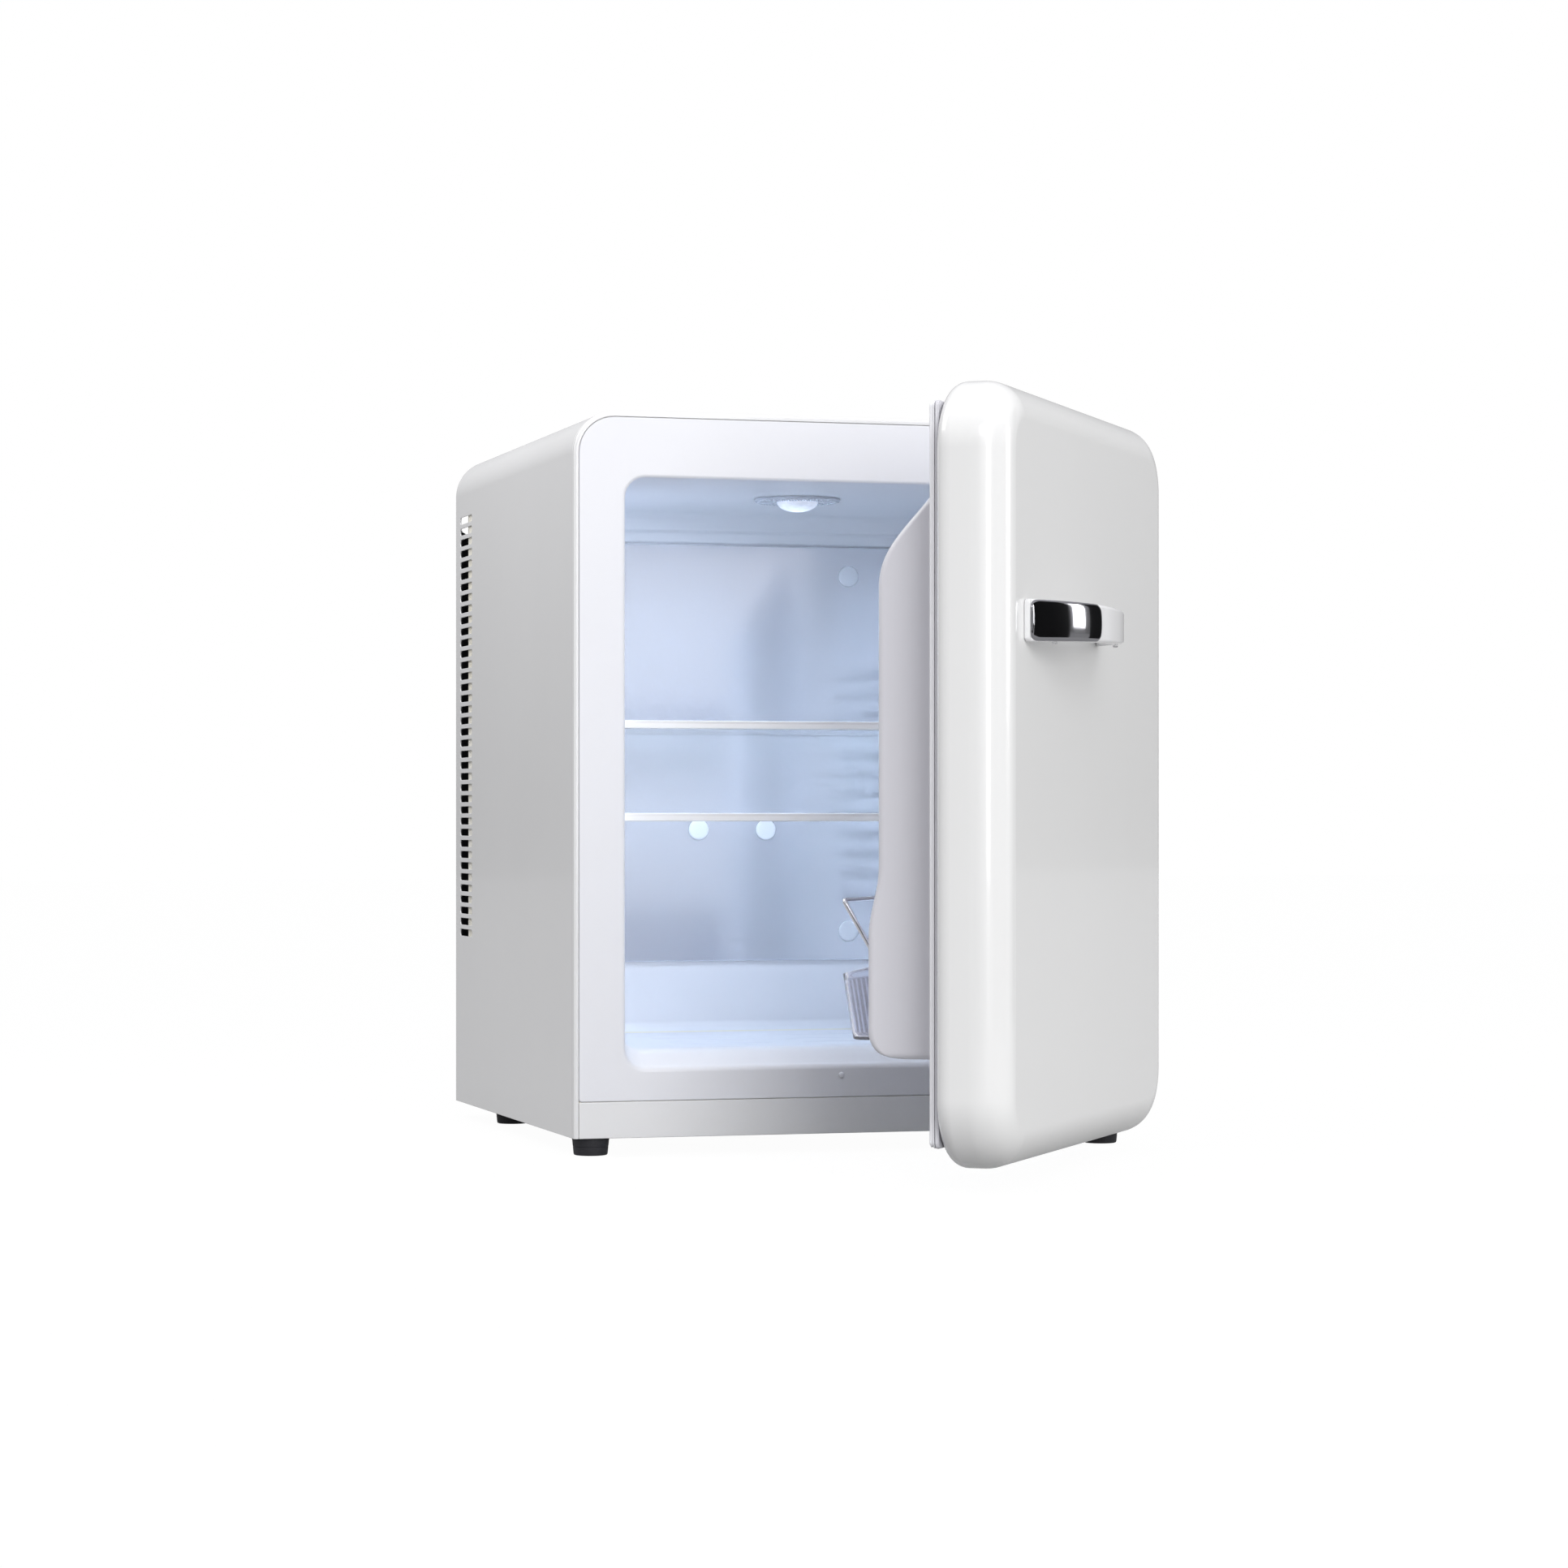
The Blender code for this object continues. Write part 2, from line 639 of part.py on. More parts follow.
def rear_bulkhead(parent):
    skin = SHEET + GAP
    shell = outline(HALF_WIDTH - skin, skin, CABINET_HEIGHT - skin, 0.002, CORNER_RADIUS - skin)
    window = MODULE_SIZE / 2 + GAP
    hole = outline(window, BLOCK_HEIGHT_IN_CABINET - window, BLOCK_HEIGHT_IN_CABINET + window, 0.0005)
    rear = BULKHEAD_FRONT + BULKHEAD_SHEET
    rings = [ring(shell, BULKHEAD_FRONT), ring(shell, rear), ring(hole, rear), ring(hole, BULKHEAD_FRONT)]
    add_object("rear_bulkhead", loft(rings, closed=True), DARK_STEEL, parent)


def cold_plate(parent):
    half = OPENING_HALF - PLATE_SIDE_CLEARANCE
    top = OPENING_TOP - COVE_DROP - PLATE_TOP_CLEARANCE
    face = outline(half, PLATE_BOTTOM, top, PLATE_CORNER)
    rings = [ring(face, PLATE_FRONT), ring(face, PLATE_FRONT + PLATE_THICKNESS)]
    add_object("cold_plate", loft(rings), PLATE_WHITE, parent)
    spots = {}
    for name, side in (("left", -0.5), ("right", 0.5)):
        spots["plate_cap_middle_" + name] = (side * BLOCK_CAP_SPACING, BLOCK_HEIGHT_IN_CABINET)
        spots["plate_cap_top_" + name] = (side * CORNER_CAP_SPACING, top - CORNER_CAP_INSET)
        spots["plate_cap_bottom_" + name] = (side * CORNER_CAP_SPACING, PLATE_BOTTOM + CORNER_CAP_INSET)
    profile = [(0, 0), (CAP_RADIUS, 0), (CAP_RADIUS, CAP_HEIGHT * 0.6), (CAP_RADIUS * 0.85, CAP_HEIGHT),
               (0, CAP_HEIGHT)]
    for name, (x, z) in spots.items():
        add_object(name, turned(profile, (x, PLATE_FRONT - GAP, z), (0, -1, 0), 20), PLATE_WHITE, parent)


def lamp(parent):
    ceiling = OPENING_TOP
    cup_top = ceiling + LINER_WALL + LAMP_CUP_DEPTH
    inner = LAMP_CUP_RADIUS - LAMP_CUP_WALL
    cup = [(0, cup_top), (LAMP_CUP_RADIUS, cup_top), (LAMP_CUP_RADIUS, ceiling), (inner, ceiling),
           (inner, cup_top - LAMP_CUP_WALL), (0, cup_top - LAMP_CUP_WALL)]
    add_object("lamp_housing", turned(cup, (0, LAMP_DEPTH, 0), (0, 0, 1)), LINER_WHITE, parent)
    board_top = cup_top - LAMP_CUP_WALL - GAP
    board = rod(inner * 0.8, BOARD_THICKNESS, (0, LAMP_DEPTH, board_top - BOARD_THICKNESS), (0, 0, 1), 20)
    add_object("led_board", board, BOARD_GREEN, parent)
    seat = ceiling - GAP
    rim = seat - LAMP_FLANGE
    wall = LAMP_FLANGE * 0.6
    lens = [(0, rim - DOME_DROP), (DOME_RADIUS * 0.62, rim - DOME_DROP * 0.78), (DOME_RADIUS, rim),
            (LAMP_RADIUS, rim), (LAMP_RADIUS, seat), (DOME_RADIUS - wall, seat),
            (DOME_RADIUS * 0.62 - wall, rim - DOME_DROP * 0.78 + wall), (0, rim - DOME_DROP + wall)]
    add_object("lamp_lens", turned(lens, (0, LAMP_DEPTH, 0), (0, 0, 1), 28), CLEAR, parent)


def sill_plug(parent):
    centre = (PLUG_SIDE, -GAP, SILL_HEIGHT - PLUG_BELOW_SILL)
    profile = [(0, 0), (PLUG_RADIUS, 0), (PLUG_RADIUS * 0.7, PLUG_HEIGHT), (0, PLUG_HEIGHT)]
    add_object("sill_plug", turned(profile, centre, (0, -1, 0), 12), LINER_WHITE, parent)


# Cooling unit in the rear chamber

def heat_sink_solid():
    """Base plate with upright fins, as one comb-shaped outline pushed upwards."""
    half = SINK_WIDTH / 2
    root = SINK_FRONT + SINK_BASE
    tip = root + FIN_DEPTH
    bottom = BLOCK_HEIGHT_IN_CABINET - SINK_TALL / 2
    pitch = (SINK_WIDTH - FIN_THICKNESS) / (FIN_COUNT - 1)
    points = [Vector((-half, SINK_FRONT, bottom)), Vector((half, SINK_FRONT, bottom))]
    for index in reversed(range(FIN_COUNT)):
        left = -half + index * pitch
        right = left + FIN_THICKNESS
        if index < FIN_COUNT - 1:
            points.append(Vector((right, root, bottom)))
        points += [Vector((right, tip, bottom)), Vector((left, tip, bottom))]
        if index > 0:
            points.append(Vector((left, root, bottom)))
    return prism(points, Vector((0, 0, SINK_TALL)))


def cooling_core(parent):
    low = PLATE_FRONT + PLATE_THICKNESS + GAP
    half = BLOCK_WIDTH / 2
    tall = BLOCK_TALL / 2
    middle = BLOCK_HEIGHT_IN_CABINET
    add_object("cold_block", block((-half, low, middle - tall), (half, FOAM_REAR - GAP, middle + tall)),
               BARE_METAL, parent)
    half = MODULE_SIZE / 2
    front = FOAM_REAR
    add_object("thermoelectric_module", block((-half, front, middle - half),
                                              (half, front + MODULE_THICKNESS, middle + half)), CERAMIC, parent)
    add_object("heat_sink", heat_sink_solid(), DARK_STEEL, parent)


def fan(parent):
    middle = BLOCK_HEIGHT_IN_CABINET
    half = FAN_SIZE / 2
    rear = FAN_FRONT + FAN_THICKNESS
    square = outline(half, middle - half, middle + half, 0.004, steps=5)
    bore = [(FAN_BORE_RADIUS * math.cos(a), middle + FAN_BORE_RADIUS * math.sin(a))
            for a in (math.radians(180 + 45 / 3 + 15 * i) for i in range(24))]
    rings = [ring(square, FAN_FRONT), ring(square, rear), ring(bore, rear), ring(bore, FAN_FRONT)]
    frame = add_object("fan_frame", loft(rings, closed=True), BLACK_PLASTIC, parent)
    web_front = rear - STRUT_THICKNESS
    reach = FAN_BORE_RADIUS + 0.001
    bars = [rod(HUB_RADIUS, STRUT_THICKNESS, (0, web_front, middle), (0, 1, 0), 24)]
    weld(frame, tool_object("fan_hub_tool", join(bars), parent))
    for name, turn in (("fan_strut_tool_one", 45), ("fan_strut_tool_two", -45)):
        bar = block((-reach, web_front, -STRUT_WIDTH / 2), (reach, rear, STRUT_WIDTH / 2))
        bmesh.ops.rotate(bar, verts=bar.verts, cent=(0, 0, 0), matrix=Matrix.Rotation(math.radians(turn), 3, "Y"))
        bmesh.ops.translate(bar, verts=bar.verts, vec=(0, 0, middle))
        weld(frame, tool_object(name, bar, parent))
    place = (0, web_front - GAP, middle)
    hub_length = web_front - GAP - FAN_FRONT - 0.001
    hub = rod(HUB_RADIUS, hub_length, (0, FAN_FRONT + 0.001, middle), (0, 1, 0), 24)
    rotor = add_object("fan_rotor", hub, BLACK_PLASTIC, parent, place)
    tip = FAN_BORE_RADIUS - FAN_TIP_CLEARANCE
    for index in range(BLADE_COUNT):
        depth = hub_length * 0.86 / math.sin(math.radians(BLADE_PITCH))
        blade = block((HUB_RADIUS * 0.8, -depth / 2, -BLADE_THICKNESS / 2),
                      (tip, depth / 2, BLADE_THICKNESS / 2))
        tilt = Matrix.Rotation(math.radians(90 - BLADE_PITCH), 3, "X")
        bmesh.ops.rotate(blade, verts=blade.verts, cent=(0, 0, 0), matrix=tilt)
        limit = hub_length * 0.45
        for vert in blade.verts:
            vert.co.y = max(-limit, min(limit, vert.co.y))
            span = math.hypot(vert.co.x, vert.co.z)
            if span > tip:
                vert.co.x = math.sqrt(tip ** 2 - vert.co.z ** 2)
        turn = Matrix.Rotation(2 * math.pi * index / BLADE_COUNT, 3, "Y")
        bmesh.ops.rotate(blade, verts=blade.verts, cent=(0, 0, 0), matrix=turn)
        bmesh.ops.translate(blade, verts=blade.verts, vec=(0, FAN_FRONT + 0.001 + hub_length / 2, middle))
        weld(rotor, tool_object(f"blade_tool_{index + 1}", blade, parent, place))


def control_box(parent):
    front = BULKHEAD_FRONT + BULKHEAD_SHEET + GAP
    rear = front + BOX_DEPTH
    left = BOX_SIDE - BOX_WIDTH / 2
    right = BOX_SIDE + BOX_WIDTH / 2
    top = BOX_BOTTOM + BOX_TALL
    box = add_object("control_box", block((left, front, BOX_BOTTOM), (right, rear, top)), BLACK_PLASTIC, parent)
    centre_x = left + 0.03
    centre_z = BOX_BOTTOM + BOX_TALL / 2
    half = INLET_WIDTH / 2
    tall = INLET_TALL / 2
    pocket = block((centre_x - half - GAP, rear - INLET_DEPTH - GAP, centre_z - tall - GAP),
                   (centre_x + half + GAP, rear + SHEET, centre_z + tall + GAP))
    cut(box, tool_object("inlet_pocket_tool", pocket, parent))
    outer = outline(half, centre_z - tall, centre_z + tall, 0.003, centre=centre_x)
    inner = outline(half - INLET_WALL, centre_z - tall + INLET_WALL, centre_z + tall - INLET_WALL, 0.002,
                    centre=centre_x)
    floor = rear - INLET_DEPTH + INLET_WALL
    rings = [ring(outer, rear - INLET_DEPTH), ring(outer, rear), ring(inner, rear), ring(inner, floor)]
    add_object("power_inlet", loft(rings), BLACK_PLASTIC, parent)
    axis_place = (right - 0.035, rear + GAP, centre_z)
    profile = [(0, 0), (DIAL_RADIUS, 0), (DIAL_RADIUS, DIAL_HEIGHT * 0.3), (0, DIAL_HEIGHT * 0.3)]
    dial = add_object("temperature_dial", turned(profile, axis_place, (0, 1, 0), 24), BLACK_PLASTIC, parent,
                      axis_place)
    x, y, z = axis_place
    grip = block((x - DIAL_GRIP / 2, y + SHEET, z - DIAL_RADIUS * 0.8),
                 (x + DIAL_GRIP / 2, y + DIAL_HEIGHT, z + DIAL_RADIUS * 0.96))
    weld(dial, tool_object("dial_grip_tool", grip, parent, axis_place))


# Shelves and tray

def shelf(name, rib, parent):
    low = LOWEST_RIB_TOP + rib * RIB_PITCH + GAP
    half = OPENING_HALF - PANE_SIDE_CLEARANCE
    rear = PLATE_FRONT - PANE_REAR_CLEARANCE
    pane_front = TRIM_FRONT + TRIM_WALL + GAP
    pane = block((-half, pane_front, low), (half, rear, low + PANE_THICKNESS))
    add_object(name + "_pane", pane, GLASS, parent)
    top = low + PANE_THICKNESS + GAP + TRIM_WALL * 0.5
    bottom = top - TRIM_HEIGHT
    back = TRIM_FRONT + TRIM_DEPTH
    section = [(TRIM_FRONT, bottom), (back, bottom), (back, low - GAP), (pane_front - GAP, low - GAP),
               (pane_front - GAP, low + PANE_THICKNESS + GAP), (back, low + PANE_THICKNESS + GAP), (back, top),
               (TRIM_FRONT, top)]
    points = [Vector((-half, y, z)) for y, z in section]
    trim = prism(points, Vector((2 * half, 0, 0)))
    add_object(name + "_trim", trim, WHITE_PAINT, parent)


def floor_tray(parent):
    half = OPENING_HALF - OPENING_RADIUS - TRAY_SIDE_CLEARANCE
    front = THRESHOLD_DEPTH + THRESHOLD_FOOT + 2 * GAP
    rear = CAVITY_DEPTH - REAR_FOOT_OF_WALL - 0.002
    low = FLOOR_HEIGHT + GAP
    rings = [[Vector((x, y, z)) for x, y in outline(half, front, rear, OPENING_RADIUS)]
             for z in (low, low + TRAY_THICKNESS)]
    tray = add_object("floor_tray", loft(rings), LINER_WHITE, parent)
    slots = []
    spacing = (rear - front) / (TRAY_SLOT_COUNT + 1)
    for row in range(TRAY_SLOT_COUNT):
        for side in (-1, 1):
            middle = side * (TRAY_SLOT_LENGTH / 2 + 0.012)
            depth = front + (row + 1) * spacing
            slots.append(block((middle - TRAY_SLOT_LENGTH / 2, depth, low - SHEET),
                               (middle + TRAY_SLOT_LENGTH / 2, depth + TRAY_SLOT_WIDTH, low + 2 * TRAY_THICKNESS)))
    cut(tray, tool_object("tray_slot_tool", join(slots), parent))


# Door

def door_outline(inset):
    return outline(DOOR_HALF - inset, DOOR_BOTTOM + inset, DOOR_TOP - inset, DOOR_CORNER_RADIUS - inset, steps=5)


def door_rings(skin, steps=3):
    """Rings of the door's outside from the front face to the rear lip, offset inwards by skin."""
    rings = []
    for radius, face, sign in ((DOOR_FRONT_ROUND, DOOR_FACE, 1), (DOOR_REAR_ROUND, LIP_FACE, -1)):
        span = radius - skin
        turns = [90 * step / steps for step in range(steps + 1)]
        if sign < 0:
            turns.reverse()
        for angle in turns:
            inset = skin + span * (1 - math.sin(math.radians(angle)))
            depth = face + sign * (radius - span * math.cos(math.radians(angle)))
            rings.append(ring(door_outline(inset), depth))
    return rings


def bush_holes():
    """Holes for both hinge bushes, from the notches into the door."""
    radius = PIN_RADIUS + GAP + BUSH_WALL + GAP
    holes = []
    for height, way in ((LOWER_SEAT, 1), (UPPER_SEAT, -1)):
        start = (HINGE_X, HINGE_Y, height - way * 0.002)
        holes.append(rod(radius, BUSH_DEPTH + 0.002 + GAP, start, (0, 0, way), 16))
    return join(holes)


def notches(grown):
    """Room for the brackets' arms in both hinge corners, grown on all sides."""
    left = HINGE_X - NOTCH_SIDE_CLEARANCE - grown
    front = HINGE_Y - NOTCH_FRONT_CLEARANCE - grown
    beyond = DOOR_HALF + DOOR_LIP
    behind = LIP_FACE + DOOR_LIP
    lower = block((left, front, DOOR_BOTTOM - DOOR_LIP), (beyond, behind, LOWER_SEAT + grown))
    upper = block((left, front, UPPER_SEAT - grown), (beyond, behind, DOOR_TOP + DOOR_LIP))
    return join([lower, upper])


def door_skin(pivot, place):
    lip_inset = DOOR_REAR_ROUND + DOOR_LIP
    lip = ring(door_outline(lip_inset), LIP_FACE)
    inner_lip = ring(door_outline(lip_inset), LIP_FACE - DOOR_SHEET)
    outside = door_rings(0.0) + [lip]
    inside = door_rings(DOOR_SHEET) + [inner_lip]
    shell = add_object("door_shell", pot(outside, inside), WHITE_PAINT, pivot, place)
    lining = tool_object("notch_lining_tool", notches(DOOR_SHEET), pivot, place)
    whole = tool_object("door_body_tool", loft(door_rings(0.0)), pivot, place)
    combine(lining, whole, "INTERSECT")
    weld(shell, lining)
    cut(shell, tool_object("notch_tool", notches(0.0), pivot, place))
    cut(shell, tool_object("bush_hole_tool", bush_holes(), pivot, place))
    foam = add_object("door_foam", loft(door_rings(DOOR_SHEET + GAP)), FOAM, pivot, place)
    cut(foam, tool_object("foam_notch_tool", notches(DOOR_SHEET + GAP), pivot, place))
    cut(foam, tool_object("bush_recess_tool", bush_holes(), pivot, place))


def pot(outside, inside):
    """Open shell from its outside rings and inside rings, both running from the closed face to the rim."""
    return loft(outside + list(reversed(inside)))


def cheek_depth(height):
    """How far a cheek stands off the liner at a height above the cabinet's underside."""
    if height < CHEEK_BOTTOM + CHEEK_CORNER:
        fall = (CHEEK_BOTTOM + CHEEK_CORNER - height) / CHEEK_CORNER
        return CHEEK_LOW_DEPTH - CHEEK_CORNER * (1 - math.sqrt(max(0.0, 1 - fall * fall)))
    if height < CHEEK_STEP_START:
        return CHEEK_LOW_DEPTH
    if height < CHEEK_STEP_END:
        share = (height - CHEEK_STEP_START) / (CHEEK_STEP_END - CHEEK_STEP_START)
        return CHEEK_LOW_DEPTH + (CHEEK_DEPTH - CHEEK_LOW_DEPTH) * (1 - math.cos(math.pi * share)) / 2
    if height < CHEEK_TAPER_START:
        return CHEEK_DEPTH
    share = (height - CHEEK_TAPER_START) / (CHEEK_TOP - CHEEK_TAPER_START)
    return CHEEK_DEPTH + (CHEEK_TOP_DEPTH - CHEEK_DEPTH) * (1 - math.cos(math.pi * share)) / 2


def cheek_heights():
    corner = [CHEEK_BOTTOM + CHEEK_CORNER * (1 - math.cos(math.radians(22.5 * i))) for i in range(5)]
    step = [CHEEK_STEP_START + (CHEEK_STEP_END - CHEEK_STEP_START) * i / 4 for i in range(5)]
    taper = [CHEEK_TAPER_START + (CHEEK_TOP - CHEEK_TAPER_START) * i / 7 for i in range(8)]
    return corner + step + taper


def cheek(side):
    """One upright cheek with chamfered long edges, rooted inside the liner's plate."""
    root = LINER_FACE - DOOR_LINER_WALL / 2
    outer = side * CHEEK_SIDE
    inner = side * CHEEK_INNER
    step = side * CHEEK_EDGE
    rings = []
    for height in cheek_heights():
        crest = LINER_FACE + cheek_depth(height)
        shoulder = max(root + CHEEK_EDGE / 4, crest - CHEEK_EDGE)
        section = [(outer, root), (outer, shoulder), (outer - step, crest), (inner + step, crest),
                   (inner, shoulder), (inner, root)]
        rings.append([Vector((x, y, height)) for x, y in section])
    return loft(rings)


def ledges():
    """Small ledges on the cheeks' inner faces under both bins."""
    bars = []
    for bottom, depth in ((BIN_BOTTOM, BIN_FOOT_DEPTH), (UPPER_BIN_BOTTOM, UPPER_BIN_DEPTH)):
        for side in (-1, 1):
            low_x, high_x = sorted((side * (CHEEK_INNER - LEDGE_REACH), side * (CHEEK_INNER + CHEEK_EDGE)))
            reach = min(depth, cheek_depth(bottom)) * 0.8
            bars.append(block((low_x, LINER_FACE - DOOR_LINER_WALL / 2, bottom - GAP - LEDGE_HEIGHT),
                              (high_x, LINER_FACE + reach, bottom - GAP)))
    return join(bars)


def door_inside(pivot, place):
    plate = [ring(door_outline(SEAL_INSET), LINER_FACE - DOOR_LINER_WALL), ring(door_outline(SEAL_INSET), LINER_FACE)]
    liner = add_object("door_liner", loft(plate), LINER_WHITE, pivot, place)
    weld(liner, tool_object("left_cheek_tool", cheek(-1), pivot, place))
    weld(liner, tool_object("right_cheek_tool", cheek(1), pivot, place))
    weld(liner, tool_object("ledge_tool", ledges(), pivot, place))
    back = LINER_FACE + GAP
    outside = door_outline(SEAL_INSET)
    inside = door_outline(SEAL_INSET + SEAL_WIDTH)
    rings = [ring(outside, back), ring(outside, SEAL_FACE), ring(inside, SEAL_FACE), ring(inside, back)]
    add_object("door_seal", loft(rings, closed=True), SEAL_GREY, pivot, place)


def bin_solid(bottom, front_height, back_height, depth, foot_depth):
    """Open bin: outside rings along the height, then inside rings back down."""
    back = LINER_FACE + GAP
    slope = back_height - front_height
    mouth = LINER_FACE + depth
    foot = LINER_FACE + foot_depth

    def level(wall, front, height_front, height_back):
        half = BIN_HALF - wall
        return [Vector((-half, back + wall, height_back)), Vector((half, back + wall, height_back)),
                Vector((half, front - wall, height_front)), Vector((-half, front - wall, height_front))]

    rings = [level(0, foot, bottom, bottom), level(0, mouth, bottom + front_height, bottom + front_height + slope),
             level(BIN_WALL, mouth, bottom + front_height, bottom + front_height + slope),
             level(BIN_WALL, foot, bottom + BIN_WALL, bottom + BIN_WALL)]
    return loft(rings)


def wire_solid(centre_y, centre_z):
    """Bent wire: turned-out ends, upright legs, leaning legs and the rung across."""
    side = BIN_HALF - BIN_WALL - WIRE_SIDE_CLEARANCE
    end = BIN_HALF - BIN_WALL - GAP
    bend = centre_z + WIRE_BEND_HEIGHT
    reach = centre_y + WIRE_LEAN
    top = bend + WIRE_RISE
    route = [Vector((-end, centre_y, centre_z)), Vector((-side, centre_y, centre_z)),
             Vector((-side, centre_y, bend)), Vector((-side, reach, top)), Vector((side, reach, top)),
             Vector((side, centre_y, bend)), Vector((side, centre_y, centre_z)), Vector((end, centre_y, centre_z))]
    return tube(route, WIRE_RADIUS)


def tube(route, radius, sides=8):
    """Tube along straight runs, mitred at each corner."""
    rings = []
    for index, point in enumerate(route):
        before = (point - route[index - 1]).normalized() if index > 0 else None
        after = (route[index + 1] - point).normalized() if index < len(route) - 1 else None
        way = before or after
        if index == 0:
            across = way.orthogonal().normalized()
            up = way.cross(across)
            rings.append([point + radius * (math.cos(2 * math.pi * k / sides) * across
                                            + math.sin(2 * math.pi * k / sides) * up) for k in range(sides)])
            continue
        plane = (before + after).normalized() if after else before
        previous = rings[-1]
        rings.append([spot + before * ((point - spot).dot(plane) / before.dot(plane)) for spot in previous])
    return loft(rings)


def door_racks(pivot, place):
    solid = bin_solid(BIN_BOTTOM, BIN_FRONT_HEIGHT, BIN_BACK_HEIGHT, BIN_DEPTH, BIN_FOOT_DEPTH)
    add_object("bottle_bin", solid, CLEAR, pivot, place)
    solid = bin_solid(UPPER_BIN_BOTTOM, UPPER_BIN_HEIGHT, UPPER_BIN_HEIGHT, UPPER_BIN_DEPTH, UPPER_BIN_DEPTH)
    add_object("upper_bin", solid, CLEAR, pivot, place)
    wire_place = (0, LINER_FACE + WIRE_PIVOT_DEPTH, BIN_BOTTOM + WIRE_PIVOT_HEIGHT)
    add_object("bottle_wire", wire_solid(wire_place[1], wire_place[2]), CHROME, pivot, wire_place)


def handle_rise(share):
    """Handle's stand-off at a share of its length, with its crest at the peak."""
    peak = HANDLE_PEAK / HANDLE_LENGTH
    span = max(peak, 1 - peak)
    return HANDLE_REACH * (1 - (abs(share - peak) / span) ** 2.4)


def handle_section(share, inner, outer, margin=0.0):
    half = (HANDLE_TALL + (HANDLE_TALL_END - HANDLE_TALL) * share) / 2 - margin
    soft = min(0.0018, (outer - inner) / 3)
    along = -DOOR_HALF + HANDLE_START + share * HANDLE_LENGTH
    section = [(inner, -half), (outer - soft, -half), (outer, -half + soft), (outer, half - soft),
               (outer - soft, half), (inner, half)]
    middle = HANDLE_HEIGHT_ON_DOOR
    return [Vector((along, DOOR_FACE - rise, middle + up)) for rise, up in section]


def handle_crest(share, stations):
    """Outer face of the bow, straight between its stations."""
    low = min(stations - 1, int(share * stations + 1e-6))
    start, end = (max(0.004, handle_rise(step / stations)) for step in (low, low + 1))
    return start + (end - start) * (share * stations - low)


def handle(pivot, place):
    stations = 20
    rings = []
    for index in range(stations + 1):
        share = index / stations
        outer = handle_crest(share, stations)
        inner = max(GAP, outer - HANDLE_THICKNESS)
        rings.append(handle_section(share, inner, outer))
    add_object("handle_body", loft(rings), WHITE_PAINT, pivot, place)
    rings = []
    first = INSET_START / HANDLE_LENGTH
    last = first + INSET_LENGTH / HANDLE_LENGTH
    between = [index / stations for index in range(stations + 1) if first + 0.004 < index / stations < last - 0.004]
    for share in [first] + between + [last]:
        outer = handle_crest(share, stations) + 2 * GAP
        rings.append(handle_section(share, outer, outer + INSET_THICKNESS, INSET_MARGIN))
    add_object("handle_inset", loft(rings), CHROME, pivot, place)
    for name, share in (("handle_screw_left", 0.12), ("handle_screw_right", 0.82)):
        half = (HANDLE_TALL + (HANDLE_TALL_END - HANDLE_TALL) * share) / 2
        outer = max(0.004, handle_rise(share))
        along = -DOOR_HALF + HANDLE_START + share * HANDLE_LENGTH
        centre = (along, DOOR_FACE - outer + HANDLE_THICKNESS / 2, HANDLE_HEIGHT_ON_DOOR - half - GAP)
        head = rod(SCREW_RADIUS, SCREW_HEAD, centre, (0, 0, -1), 12)
        add_object(name, head, BARE_METAL, pivot, place)


# Hinges

def hinge_bracket(name, arm_inner, way, parent):
    """Angle bracket: way is 1 at the top of the door and -1 at its bottom."""
    left = HINGE_X - BRACKET_WIDTH / 2
    arm_outer = arm_inner + way * BRACKET_SHEET
    leg_end = arm_inner + way * BRACKET_LEG
    front = HINGE_Y - BRACKET_REACH
    face = -GAP - BRACKET_SHEET
    section = [(-GAP, arm_inner), (-GAP, leg_end), (face, leg_end), (face, arm_outer), (front, arm_outer),
               (front, arm_inner)]
    points = [Vector((left, y, z)) for y, z in section]
    bracket = add_object(name, prism(points, Vector((BRACKET_WIDTH, 0, 0))), BARE_METAL, parent)
    hole = rod(PIN_RADIUS + GAP, 3 * BRACKET_SHEET, (HINGE_X, HINGE_Y, arm_inner - way * BRACKET_SHEET),
               (0, 0, way), 16)
    cut(bracket, tool_object(name + "_pin_tool", hole, parent))
    height = (arm_outer + leg_end) / 2
    opening = rod(SCREW_RADIUS + GAP, 3 * BRACKET_SHEET, (HINGE_X, BRACKET_SHEET, height), (0, -1, 0), 12)
    cut(bracket, tool_object(name + "_screw_tool", opening, parent))
    length = SCREW_HEAD + GAP + BRACKET_SHEET
    profile = [(0, 0), (SCREW_HEAD_RADIUS * 0.7, 0), (SCREW_HEAD_RADIUS, SCREW_HEAD * 0.5),
               (SCREW_HEAD_RADIUS, SCREW_HEAD), (SCREW_RADIUS, SCREW_HEAD), (SCREW_RADIUS, length), (0, length)]
    start = (HINGE_X, face - GAP - SCREW_HEAD, height)
    add_object(name.replace("bracket", "screw"), turned(profile, start, (0, 1, 0), 12), BARE_METAL, parent)


